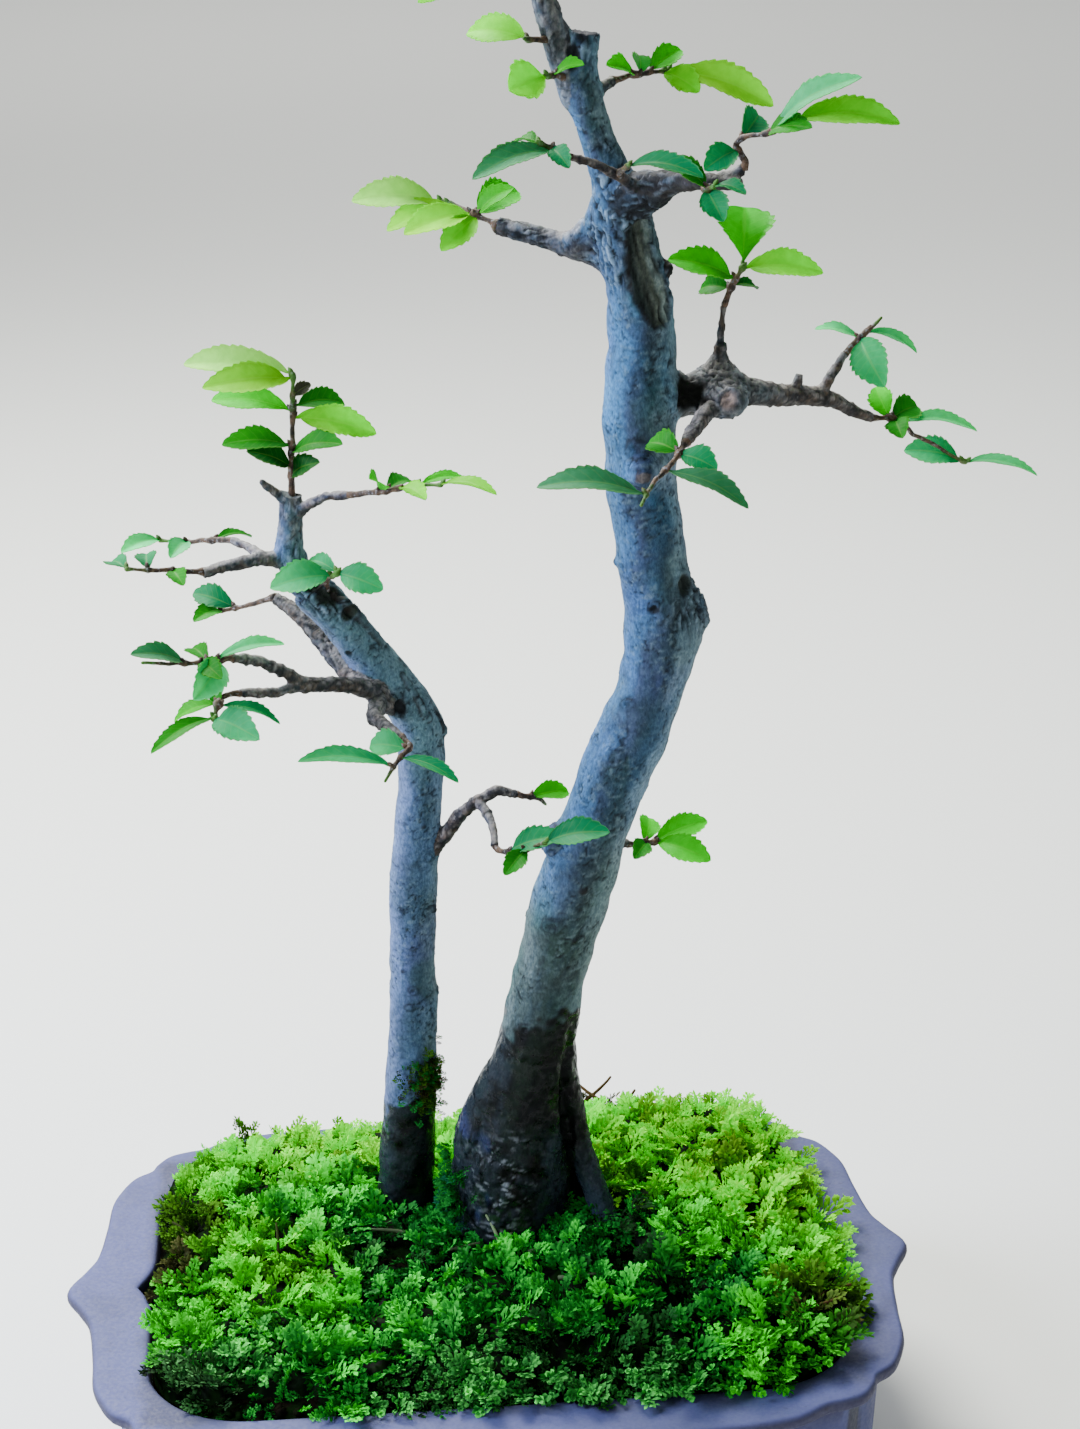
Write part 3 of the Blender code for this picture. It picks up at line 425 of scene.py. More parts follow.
def makePot():
    outer = rimOutline()
    inner = innerOutline(outer)
    loops = []
    for share, height in pot["profile"]:
        loops.append(np.column_stack((outer + (inner - outer) * share, np.full(len(outer), height))))
    for share in np.linspace(0.12, 1, 8):  # the inner wall, down to the bowl's floor
        taper = 1 + (pot["bowlTaper"] - 1) * share
        loops.append(np.column_stack((inner * taper, np.full(len(inner), pot["floorHeight"] * share))))
    loops = np.array(loops)
    flat = loops.reshape(-1, 3)
    sway = noise(flat * (1, 1, 0.6), 38, 3)[:, None]
    free = smoothStep(-42, -36, flat[:, 2])[:, None] * (flat[:, 2] > -34)[:, None]
    inward = -0.5 * np.column_stack((np.sign(flat[:, 0]), np.sign(flat[:, 1]), np.ones(len(flat))))
    loops = (flat + free * sway * pot["wobble"] * inward).reshape(loops.shape)
    points, faces = loft(loops)
    piece = buildMesh("pot_stoneware", points, faces)
    feet = [cornerFoot(outer, inner, sx, sy) for sx in (1, -1) for sy in (1, -1)]
    combine(piece, feet, "UNION")
    drains = []
    for x in (pot["drainX"], -pot["drainX"]):
        angles = np.linspace(0, 2 * math.pi, 41)[:-1]
        ring = np.column_stack((x + pot["drainRadius"] * np.cos(angles),
                                pot["drainRadius"] * np.sin(angles)))
        drains.append(buildMesh("drain", *loft([np.column_stack((ring, np.full(40, z)))
                                                for z in (-60, -30)])))
    combine(piece, drains, "DIFFERENCE")
    count = len(piece.data.vertices)
    places = np.empty(count * 3, np.float32)
    piece.data.vertices.foreach_get("co", places)
    places = (places.reshape(-1, 3) - rimMiddle) / mm
    blur = noise(places, 9, 5)
    # painted shade: darker round the lip and under its overhang, fading down the outer wall
    edge = smoothStep(-0.15, -0.9, places[:, 2] + 0.15 * blur) * smoothStep(-12, -4.5, places[:, 2])
    onRim = places[:, 2] > -1.2
    inside = np.maximum(np.abs(places[:, 0]) - bed["half"][0], np.abs(places[:, 1]) - bed["half"][1])
    damp = smoothStep(2.6, -0.4, inside + 1.6 * blur) * onRim * 0.55 + (inside < -0.3) * ~onRim * 0.8
    paint(piece, "edge", edge * (inside > 1) * 0.75)
    paint(piece, "damp", np.clip(damp, 0, 0.8))
    piece.data.set_sharp_from_angle(angle=math.radians(50))
    finishPiece(piece, clayMaterial(), "pot_clay", "pot")


def dressScreens():
    # moulded plastic mesh, matt black with a faint grain
    values = dict(dark="#1b1b1c", worn="#2a2a2b", wearMm=1.2, grainMm=0.5, grainDepthMm=0.05)
    material, tree, shader, place = startMaterial("moulded_polyethylene", {"Roughness": 0.5, "IOR": 1.5})
    wear, grain = (
        addNode(tree, "TexNoise", {"Vector": place, "Scale": 1 / (values[size] * mm),
                                             "Detail": 3, "Roughness": 0.55})
        for size in ("wearMm", "grainMm"))
    setNode(tree, shader, {
        "Base Color": addNode(tree, "Mix", {
            **colourMix, 0: wear, 6: rgba(values["dark"]), 7: rgba(values["worn"])}),
        "Normal": addNode(tree, "Bump", {
            "Height": grain, "Strength": 0.4, "Distance": values["grainDepthMm"] * mm})})
    for name in ("drain_screen_left", "drain_screen_right"):
        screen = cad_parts[name]
        screen.data.materials.clear()
        screen.data.materials.append(material)


# Soil and moss

ground = dict(edge=-2.0, middle=12.0, toRight=5.0, toBack=6.5, inset=0.7, cells=(100, 70),
              crumbs=2600, crumbSize=(0.35, 1.25), feltCells=(132, 92))

# Where the soil shows, as (x, y, half width, half depth) of ovals, larger where less moss grows
bareOvals = [(6, 3, 17, 14.5), (-19, 13.5, 9.5, 9.5), (28, -4, 7, 8), (30, -20, 4.2, 10),
             (27.5, -43, 2.2, 7), (41, -36, 5, 4), (-31, -36, 5, 4), (-58, -53, 20, 6.5),
             (-79, 10, 6, 14), (-24, -7, 10, 5), (76, -38, 5, 4)]

moss = dict(
    spacing=2.55, clumpSpacing=10.5, variants=12, lengthRange=(0.72, 1.12),
    # the felt under the sprigs, nearly black as painted shade among them
    feltDark="#030803", feltPale="#0f2a08",
    # tones of moss: deep inside, then at the tips
    tones=dict(bright=("#44ae00", "#b4ff2c"), lime=("#2c9c00", "#84fa2c"), pure=("#0e8006", "#50f038"),
               dim=("#040c04", "#2c6a30"), mid=("#0a5e0e", "#42d448"), deep=("#08440f", "#34b040"),
               teal=("#074226", "#2a9c68"), olive=("#1a2c06", "#5c9a1c"), brown=("#14140a", "#5c5c2c"),
               mint=("#06400a", "#5cc45a"), grey=("#080e08", "#4e6a4a")),
    # patches as (x, y, radius, tone), which blend into each other
    patches=[(-35, 38, 20, "bright"), (-64, 38, 14, "lime"), (-50, 47, 10, "bright"),
             (-73, 16, 9, "olive"), (-40, 12, 12, "mid"), (-54, 20, 9, "pure"), (-76, 0, 7, "brown"),
             (-52, -12, 14, "lime"), (-66, -22, 11, "pure"), (-40, -26, 13, "pure"),
             (-55, -38, 12, "mint"), (-38, -44, 13, "mid"), (-71, -47, 10, "grey"),
             (-62, -53, 10, "deep"), (-17, -8, 12, "deep"), (-10, 2, 8, "deep"), (-24, -30, 12, "mid"),
             (-22, -49, 9, "mint"), (0, -50, 10, "mint"), (5, -20, 12, "mid"), (20, -34, 10, "mid"),
             (-2, -34, 10, "mid"), (33, -12, 8, "deep"), (55, 36, 24, "bright"), (30, 46, 18, "lime"),
             (62, 6, 18, "bright"), (76, -12, 12, "lime"), (48, -14, 12, "pure"), (52, -32, 9, "deep"),
             (44, -46, 9, "mid"), (62, -46, 12, "pure"), (78, -30, 9, "olive"), (36, -52, 8, "mint"),
             (72, -40, 7, "brown"), (44, 8, 10, "lime"), (5, 46, 16, "bright"), (-8, 24, 9, "lime"),
             (64, 22, 5, "olive"), (28, -42, 6, "dim"), (12, -47, 4, "dim"), (-8, -40, 4, "dim"),
             (-32, -30, 5, "dim"), (-23, -9, 8, "dim"), (-30, -17, 5, "dim"), (44, -38, 5, "dim"),
             (36, -22, 5, "dim"), (-12, -24, 4, "dim"), (14, -24, 5, "dim"), (-70, -50, 9, "dim")],
    # where fronds hang out over the rim, as (x, y, spread)
    spills=[(-10, -54, 8), (-36, -54, 6), (17, -54, 5), (38, -54, 7), (53, -53, 4), (77, -28, 5),
            (76, -10, 4)],
    # single tall shoots, as (x, y, height, tone)
    shoots=[(-59, 46, 13, "olive"), (-57.5, 45, 8, "olive"), (26, 50, 11, "brown"), (33, 50, 9, "brown")],
    # fronds on the bark: "middle" and "spread" are of their direction in degrees and their height
    onBark=[dict(axis=(-16.8, 13.6), radius=5.7, middle=(-57, 45.5), spread=(24, 3.6), count=190,
                 sizes=(0.22, 0.42), tones=["olive", "olive", "deep", "brown"]),
            dict(axis=(4, 5), radius=12.2, middle=(-172, 17), spread=(22, 6), count=110,
                 sizes=(0.35, 0.65), tones=["teal", "deep", "deep"]),
            dict(axis=(6, 4), radius=12.5, middle=(-48, 9), spread=(15, 3.5), count=80,
                 sizes=(0.35, 0.65), tones=["mid", "deep", "deep"]),
            dict(axis=(28, -4.3), radius=3.6, middle=(-85, 13), spread=(50, 2.4), count=70,
                 sizes=(0.5, 0.85), tones=["mid", "deep", "dim"])],
    # dry stalks, as (x, y, lift, heading, rise, length, bow, tone)
    stalks=[(2, -11, 4, 115, 55, 9, 0.3, "pale"), (3, -10, 4, 60, 50, 8, -0.3, "pale"),
            (8, -14, 5, 10, 8, 12, 0.2, "straw"), (-12, -10, 5, -10, 12, 9, 0.4, "straw"),
            (-20, -2, 5, 170, 10, 8, 0.3, "straw"), (14, -24, 5, -15, 10, 9, 0.3, "straw"),
            (-50, -8, 7, 80, 60, 8, 0.4, "olive"), (24, 48, 6, 10, 35, 14, 0.9, "rust"),
            (32, 47, 7, 160, 30, 10, -0.9, "rust"), (34, 48, 5, 20, 25, 9, 0.8, "rust"),
            (70, -36, 5, -20, 25, 8, 0.8, "rust"), (73, -31, 5, 20, 30, 8, -0.7, "rust"),
            (-70, 8, 5, 120, 30, 8, 0.6, "olive"), (-74, 4, 4, 200, 25, 6, 0.5, "olive")],
    stalkTones=dict(pale="#98aa80", straw="#5f6e50", rust="#5a4426", olive="#3c4420"))


def moundHeight(x, y):
    u, v = x / bed["half"][0], y / bed["half"][1]
    edge = np.maximum(0, 1 - u**6) * np.maximum(0, 1 - v**6)
    return ground["edge"] + edge * (ground["middle"] + ground["toRight"] * u + ground["toBack"] * v)


def mossCover(x, y):
    # from 0 on bare soil to 1 where moss grows, with a ragged edge
    flat = np.column_stack((x, y, 0 * x))
    ragged = 0.16 * noise(flat, 5, 21) + 0.08 * noise(flat, 2.2, 22)
    cover = np.ones(len(x))
    for ovalX, ovalY, halfWidth, halfDepth in bareOvals:
        reach = np.hypot((x - ovalX) / halfWidth, (y - ovalY) / halfDepth)
        cover = np.minimum(cover, smoothStep(0.85, 1.15, reach + ragged))
    return cover


def bedGrid(columns, rows, inset):
    u, v = np.meshgrid(np.linspace(-1, 1, columns + 1), np.linspace(-1, 1, rows + 1), indexing="ij")
    return bedPoint(u.ravel(), v.ravel(), inset)


def slab(top, bottom, columns, rows):
    # a closed sheet between two grids of points
    count = len(top)
    index = np.arange(count).reshape(columns + 1, rows + 1)
    a, b, c, d = index[:-1, :-1], index[1:, :-1], index[1:, 1:], index[:-1, 1:]
    quads = np.stack((a, b, c, d), -1).reshape(-1, 4)
    border = np.concatenate((index[:-1, 0], index[-1, :-1], index[:0:-1, -1], index[0, :0:-1]))
    after = np.roll(border, -1)
    sides = np.column_stack((border, border + count, after + count, after))[:, ::-1]
    return np.vstack((top, bottom)), [np.vstack((quads, quads[:, ::-1] + count, sides))]


def soilMaterial():
    # damp loam with bark crumbs: quite matt, a little green where algae grow; its own dark is painted
    # darker still, nearly black, as the shade in the gaps among the moss
    values = dict(loam="#040403", crumb="#14100a", algae="#0a1d07",
                  crumbMm=2.4, algaeMm=5, fineMm=0.8, fineDepthMm=0.3)
    material, tree, shader, place = startMaterial("damp_loam", {"IOR": 1.1, "Specular IOR Level": 0.1})
    crumbs, algae, fine = (
        addNode(tree, "TexNoise", {"Vector": place, "Scale": 1 / (values[size] * mm),
                                             "Detail": detail, "Roughness": 0.55})
        for size, detail in (("crumbMm", 4), ("algaeMm", 3), ("fineMm", 4)))
    layers = dict(
        crumb=addNode(tree, "MapRange", {
            "Value": crumbs, "From Min": 0.35, "From Max": 0.7, **eased}),
        algae=addNode(tree, "MapRange", {
            "Value": algae, "From Min": 0.42, "From Max": 0.6, "To Max": 0.8, **eased}))
    colour = rgba(values["loam"])
    for tone, share in layers.items():
        colour = addNode(tree, "Mix", {**colourMix, 0: share, 6: colour, 7: rgba(values[tone])})
    setNode(tree, shader, {
        "Base Color": colour,
        "Roughness": addNode(tree, "MapRange", {
            "Value": fine, "From Min": 0.35, "From Max": 0.65, "To Min": 0.75, "To Max": 0.95, **eased}),
        "Normal": addNode(tree, "Bump", {
            "Height": fine, "Strength": 0.8, "Distance": values["fineDepthMm"] * mm})})
    return material


def makeSoil(rng):
    columns, rows = ground["cells"]
    x, y = bedGrid(columns, rows, ground["inset"])
    flat = np.column_stack((x, y, 0 * x))
    inner = (np.abs(x) < bed["half"][0] - 2) & (np.abs(y) < bed["half"][1] - 2)
    crumb = 0.55 * noise(flat, 3.4, 11) + 0.4 * noise(flat, 1.7, 12) + 0.2 * noise(flat, 0.9, 13)
    top = np.column_stack((x, y, moundHeight(x, y) - 0.35 + crumb * np.where(inner, 1, 0.4)))
    taper = pot["bowlTaper"]
    bottom = np.column_stack((x * taper, y * taper, np.full(len(x), pot["floorHeight"] + 0.4)))
    shapes = [slab(top, bottom, columns, rows)]
    lump = crumbShape()
    for _ in range(ground["crumbs"]):
        cx, cy = (value[0] for value in bedPoint(rng.uniform(-1, 1, 1), rng.uniform(-1, 1, 1), 1.5))
        bare = mossCover(np.array([cx]), np.array([cy]))[0] < 0.7
        if not bare:
            continue
        size = rng.uniform(*ground["crumbSize"]) * rng.uniform(0.7, 1.2, 3)
        turned = (lump[0] * rng.uniform(0.75, 1.2, (12, 1)) * size) @ randomTurn(rng)
        height = moundHeight(np.array([cx]), np.array([cy]))[0]
        shapes.append((turned + (cx, cy, height + rng.uniform(-0.2, 0.5)), [lump[1]]))
    points, faces = joinShapes(shapes)
    piece = buildMesh("soil_loam", points, faces)
    finishPiece(piece, soilMaterial(), "soil", "soil")


def crumbShape():
    golden = (1 + 5**0.5) / 2
    points = []
    for a in (-1, 1):
        for b in (-golden, golden):
            points += [(0, a, b), (a, b, 0), (b, 0, a)]
    points = unit(np.array(points, float))
    faces = []
    for i in range(12):
        for j in range(i + 1, 12):
            for k in range(j + 1, 12):
                corners = points[[i, j, k]]
                if max(np.linalg.norm(corners - np.roll(corners, 1, 0), axis=1)) < 1.1:
                    normal = np.cross(corners[1] - corners[0], corners[2] - corners[0])
                    outward = np.dot(normal, corners[0]) > 0
                    faces.append((i, j, k) if outward else (i, k, j))
    return points, np.array(faces)


def randomTurn(rng):
    return np.linalg.qr(rng.normal(size=(3, 3)))[0]


def mossMaterial():
    # feather moss: thin moist leaflets, matt, lit through at the tips
    values = dict(dull=(0.72, 0.86, 0.55, 1), mottleMm=1.5, through=0.48)
    material, tree, shader, place = startMaterial("feather_moss", {
        "Roughness": 0.6, "IOR": 1.2, "Specular IOR Level": 0.3})
    tint = addNode(tree, "Attribute", {"attribute_name": "tint"})
    dull = addNode(tree, "Mix", {**colourProduct, 6: tint, 7: values["dull"]})
    mottle = addNode(tree, "TexNoise", {
        "Vector": place, "Scale": 1 / (values["mottleMm"] * mm), "Detail": 2, "Roughness": 0.55})
    mottle = addNode(tree, "MapRange", {
        "Value": mottle, "From Min": 0.3, "From Max": 0.7, "To Max": 0.4, **eased})
    colour = addNode(tree, "Mix", {**colourMix, 0: mottle, 6: tint, 7: dull})
    setNode(tree, shader, {"Base Color": colour})
    lit = addNode(tree, "BsdfTranslucent", {"Color": colour})
    blend = addNode(tree, "MixShader", {0: values["through"], 1: shader, 2: lit})
    setNode(tree, tree.nodes["Material Output"], {"Surface": blend})
    return material


def makeClumps(rng):
    # the middles of the cushions that the moss grows in
    halfX, halfY = bed["half"]
    step = moss["clumpSpacing"]
    x, y = np.meshgrid(np.arange(-halfX, halfX + 1, step), np.arange(-halfY, halfY + 1, step),
                       indexing="ij")
    x = x + (np.arange(x.shape[1]) % 2) * step / 2
    return np.column_stack((x.ravel(), y.ravel())) + rng.uniform(-0.36, 0.36, (x.size, 2)) * step


def cushionAt(x, y, clumps):
    # the way out from the nearest cushion's middle, and its share of the way to the next one
    offsets = np.column_stack((x, y))[:, None, :] - clumps[None]
    away = np.linalg.norm(offsets, axis=2)
    nearest = away.argmin(1)
    rows = np.arange(len(x))
    ordered = np.sort(away, axis=1)
    share = ordered[:, 0] / np.maximum(ordered[:, 1], 1e-6)
    return offsets[rows, nearest], share, nearest


def makeMossMat(material, clumps):
    # the felted layer under the sprigs: its own dark green painted darker still, nearly black, as the shade
    # down among them
    columns, rows = ground["feltCells"]
    x, y = bedGrid(columns, rows, ground["inset"] + 0.2)
    flat = np.column_stack((x, y, 0 * x))
    cover = mossCover(x, y)
    _, share, _ = cushionAt(x, y, clumps)
    lift = 0.8 + 2.2 * (1 - share**2) + 0.8 * noise(flat, 3.5, 31) + 0.5 * noise(flat, 1.8, 32)
    height = moundHeight(x, y) + cover * lift - (1 - cover) * 1.6
    top = np.column_stack((x, y, height))
    bottom = np.column_stack((x, y, np.minimum(height - 0.4, moundHeight(x, y) - 2.2)))
    points, faces = slab(top, bottom, columns, rows)
    piece = buildMesh("moss_felt", points, faces)
    dark = mixed(linear(moss["feltDark"]), linear(moss["feltPale"]),
                 smoothStep(-0.4, 0.7, noise(flat, 2.6, 33)))
    paint(piece, "tint", np.vstack((dark, dark)))
    finishPiece(piece, material, "moss", "moss")


def leafletShape(base, direction, side, length, width, widest=0.5):
    # a tiny folded leaflet as a closed four-sided sliver
    facing = np.cross(direction, side)
    middle = base + direction * length * widest - facing * width * 0.2
    return [base, middle + side * width / 2, middle - side * width / 2, base + direction * length]


leafletFaces = np.array([(0, 3, 1), (0, 2, 3), (0, 1, 2), (1, 3, 2)])


def frondShape(rng):
    # a feathery frond about 7 mm long that rises and bows over towards +x
    length, bend = 7.2, rng.uniform(0.7, 1.25)
    points, shade = [], []
    side = np.array([0.0, 1.0, 0.0])
    for step in range(6):
        share = 0.25 + 0.75 * step / 5
        angle = bend * share
        stem = length / bend * np.array([1 - math.cos(angle), 0, math.sin(angle)])
        stem[1] = 0.35 * math.sin(3 * share + step)
        along = np.array([math.sin(angle), 0, math.cos(angle)])
        up = np.array([-math.cos(angle), 0, math.sin(angle)])
        reach = 2.3 * (1.05 - 0.72 * share) * rng.uniform(0.85, 1.15)
        for sign in (1, -1):
            branch = unit(side * sign * 0.95 + along * rng.uniform(0.5, 0.95) + up * rng.uniform(-0.1, 0.5))
            across = unit(np.cross(branch, up))
            for place, turn, size in ((0.35, 0.7, 0.95), (0.6, -0.2, 1.2)):
                heading = unit(branch + across * turn + up * rng.uniform(-0.2, 0.3))
                flat = unit(np.cross(heading, up) + 0.25 * rng.normal(size=3))
                big = size * rng.uniform(1.6, 2.3) * (1.1 - 0.3 * share)
                points += leafletShape(stem + branch * reach * place, heading, flat, big, big * 0.52, 0.68)
                tone = 0.6 * share + 0.45 * place
                shade += [0.5 * tone, 0.85 * tone, 0.85 * tone, tone + 0.12]
        heading = unit(along * 0.8 + up * 0.55 + 0.2 * rng.normal(size=3))
        points += leafletShape(stem, heading, side, 2.2, 1.0, 0.6)
        tone = 0.2 + 0.75 * share
        shade += [0.6 * tone, 0.9 * tone, 0.9 * tone, tone + 0.15]
    return np.array(points), np.clip(np.array(shade), 0, 1)


def rosetteShape(rng):
    # a few short shoots, each with a rosette of rounded leaves at its tip
    points, shade = [], []
    for shoot in range(3):
        turn = shoot * 2.1 + rng.uniform(-0.4, 0.4)
        up = unit(np.array([0.75 * math.cos(turn), 0.75 * math.sin(turn), 1.0]))
        first = unit(np.cross(up, (0.3, 1, 0.1)))
        second = np.cross(up, first)
        tall = rng.uniform(3.6, 5.6)
        rings = ((3, 0.4, 0.5, 1.2), (4, 0.7, 0.5, 1.35), (4, 1.0, 1.0, 1.2))
        for ring, (count, place, rise, size) in enumerate(rings):
            for k in range(count):
                angle = 2 * math.pi * (k + 0.5 * ring) / count + rng.uniform(-0.25, 0.25)
                outward = math.cos(angle) * first + math.sin(angle) * second
                heading = unit(outward + rise * up)
                flat = unit(np.cross(heading, up) + 0.2 * rng.normal(size=3))
                big = size * rng.uniform(0.85, 1.15)
                points += leafletShape(up * tall * place, heading, flat, big, big * 0.85, 0.74)
                tone = (0.22, 0.55, 0.85)[ring]
                shade += [0.4 * tone, tone, tone, tone + 0.15]
    return np.array(points), np.clip(np.array(shade), 0, 1)


def mossSites(rng):
    # places over the bed, each with its share of the way to the bed's sides
    halfX, halfY = bed["half"]
    step = moss["spacing"]
    u, v = np.meshgrid(np.arange(-1, 1.0001, step / halfX), np.arange(-1, 1.0001, step / halfY),
                       indexing="ij")
    u = np.clip(u.ravel() + rng.uniform(-0.5, 0.5, u.size) * step / halfX, -1, 1)
    v = np.clip(v.ravel() + rng.uniform(-0.5, 0.5, v.size) * step / halfY, -1, 1)
    for spillX, spillY, spread in moss["spills"]:
        count = int(3.2 * spread)
        u = np.append(u, np.clip((spillX + rng.normal(0, spread / 2, count)) / halfX, -1, 1))
        v = np.append(v, np.clip((spillY + rng.normal(0, 2.5, count)) / halfY, -1, 1))
    x, y = bedPoint(u, v, 1.2)
    x = x + 3.2 * smoothStep(-0.85, -1, u)  # clear of the left side
    keep = rng.uniform(0, 1, len(x)) < 0.42 + 0.58 * mossCover(x, y)
    return x[keep], y[keep], u[keep], v[keep]


def patchTones(x, y, rng):
    # each tone's share at each place
    names = list(moss["tones"])
    shares = np.zeros((len(x), len(names)))
    flat = np.column_stack((x, y, 0 * x))
    sway = np.column_stack((noise(flat, 9, 41), noise(flat, 9, 44))) * 5
    for patchX, patchY, radius, tone in moss["patches"]:
        away = np.hypot(x + sway[:, 0] - patchX, y + sway[:, 1] - patchY) / radius
        shares[:, names.index(tone)] += np.exp(-2.2 * away**2)
    shares = (shares + 1e-6)**1.6 * rng.uniform(0.45, 1.8, shares.shape)
    shares /= shares.sum(1, keepdims=True)
    low, high = (np.array([linear(moss["tones"][name][k]) for name in names]) for k in (0, 1))
    rounded = [dict(mint=1, deep=0.5, pure=0.4, mid=0.4).get(name, 0) for name in names]
    return shares @ low, shares @ high, shares @ np.array(rounded)


def makeMossSprigs(material, clumps, rng):
    fronds = [frondShape(rng) for _ in range(moss["variants"])]
    rosettes = [rosetteShape(rng) for _ in range(moss["variants"] // 2)]
    x, y, u, v = mossSites(rng)
    low, high, rounded = patchTones(x, y, rng)
    offsets, share, _ = cushionAt(x, y, clumps)
    edgeX, edgeY = smoothStep(0.9, 1, np.abs(u)) * np.sign(u), smoothStep(0.88, 1, np.abs(v)) * np.sign(v)
    cover = mossCover(x, y)
    flat = np.column_stack((x, y, 0 * x))
    thick = 1 + 0.2 * noise(flat, 18, 42)
    patchy = 1 + 0.45 * noise(flat, 13, 43)
    pieces = {}

    def plant(shape, size, place, upward, turnFrom, lowTone, highTone, light):
        points, shade = shape
        first = unit(turnFrom - upward * np.dot(turnFrom, upward))
        axes = np.array([first, np.cross(upward, first), upward])
        placed = points * size @ axes + place
        # darker towards each sprig's base: partly the paler young tips, partly painted shade deep in the
        # mat
        tint = lowTone + (highTone - lowTone) * shade[:, None]**1.45
        side = ("left" if place[0] < 0 else "right") + ("_front" if place[1] < 0 else "_back")
        pieces.setdefault(side, []).append((placed, tint * light))

    for k in range(len(x)):
        outward = np.append(offsets[k], 0) / (np.linalg.norm(offsets[k]) + 1e-6)
        lean = outward * 0.55 * share[k] + np.array([(0.75 if u[k] > 0 else 0.25) * edgeX[k],
                                                     0.75 * edgeY[k], 0])
        upward = unit(lean + rng.normal(0, 0.16, 3) * (1, 1, 0) + (0, -0.08, 1.0))
        heading = outward + 1.5 * np.array([edgeX[k], edgeY[k], 0]) + rng.normal(0, 0.5, 3)
        dome = 2.0 * (1 - share[k]**2) * cover[k]
        height = moundHeight(x[k:k + 1], y[k:k + 1])[0]
        size = rng.uniform(*moss["lengthRange"]) * thick[k] * (0.55 + 0.45 * cover[k])
        size *= 1.15 - 0.45 * share[k]**2
        size *= 1 - 0.3 * smoothStep(0.35, 0.9, v[k])
        # painted shade: sprigs darker towards the edges of their cushions, where they meet; painted light:
        # brighter towards the back; besides, a little darker by bare soil, and random tone
        light = rng.uniform(0.4, 1.65) * (1.5 - 1.2 * share[k]**2) * (0.85 + 0.15 * cover[k])
        light *= (1 + (0.3 + 0.2 * np.sign(u[k])) * smoothStep(0.2, 0.8, v[k])) * patchy[k]
        shape = rosettes if rng.uniform() < 0.7 * rounded[k] else fronds
        place = np.array([x[k], y[k], height + dome - 0.8 + rng.uniform(-0.4, 0.3)])
        plant(shape[rng.integers(len(shape))], size, place, upward, heading, low[k], high[k], light)
    for shootX, shootY, tall, tone in moss["shoots"]:
        lowTone, highTone = (linear(colour) for colour in moss["tones"][tone])
        height = moundHeight(np.array([shootX]), np.array([shootY]))[0]
        for lift in (0.0, 0.28, 0.5):
            place = np.array([shootX, shootY, height + tall * lift])
            plant(fronds[rng.integers(len(fronds))], 0.55 + 0.02 * tall, place,
                  unit(np.array([0.08, 0, 1.0])), rng.normal(size=3), lowTone, highTone, 1.6)
    for tuft in moss["onBark"]:
        for _ in range(tuft["count"]):
            turn, height = rng.normal(0, 1, 2) * tuft["spread"] + tuft["middle"]
            outward = np.array([math.cos(math.radians(turn)), math.sin(math.radians(turn)), 0])
            place = np.array([*tuft["axis"], height]) + outward * (tuft["radius"] - 0.3)
            lowTone, highTone = (linear(colour) for colour in moss["tones"][rng.choice(tuft["tones"])])
            plant(fronds[rng.integers(len(fronds))], rng.uniform(*tuft["sizes"]), place,
                  unit(outward + (0, 0, 0.5)), rng.normal(size=3) - (0, 0, 1.5), lowTone, highTone, 0.8)
    stalks = []
    for stalkX, stalkY, lift, turn, rise, length, bow, tone in moss["stalks"]:
        start = np.array([stalkX, stalkY,
                          moundHeight(np.array([stalkX]), np.array([stalkY]))[0] + lift - 2])
        line = []
        for share in np.linspace(0, 1, 9):
            tilt = math.radians(rise) * (1 - 0.9 * share * abs(bow))
            heading = math.radians(turn) + bow * share
            line.append((*start, 0.55 - 0.25 * share))
            start = start + length / 8 * np.array([math.cos(heading) * math.cos(tilt),
                                                   math.sin(heading) * math.cos(tilt), math.sin(tilt)])
        points, faces = tube(line, 6, roundEnds=True)
        stalks.append((points, faces, np.tile(linear(moss["stalkTones"][tone]), (len(points), 1))))
    points, faces = joinShapes([(points, faces) for points, faces, _ in stalks])
    piece = buildMesh("moss_dry_stalks", points, faces)
    paint(piece, "tint", np.concatenate([tint for _, _, tint in stalks]))
    finishPiece(piece, material, "moss", "moss")
    for side, grown in sorted(pieces.items()):
        points = np.concatenate([placed for placed, _ in grown])
        count = len(points) // 4
        faces = (leafletFaces[None] + 4 * np.arange(count)[:, None, None]).reshape(-1, 3)
        piece = buildMesh("moss_sprigs_" + side, points, [faces], smooth=False)
        tints = np.concatenate([tint for _, tint in grown])
        paint(piece, "tint", tints / np.maximum(1, tints.max(1, keepdims=True)))
        finishPiece(piece, material, "moss", "moss")
        print("  moss", side, len(grown), "sprigs,", len(faces), "triangles")


# Wood: limbs are centre points with a radius, (x, y, z, radius)

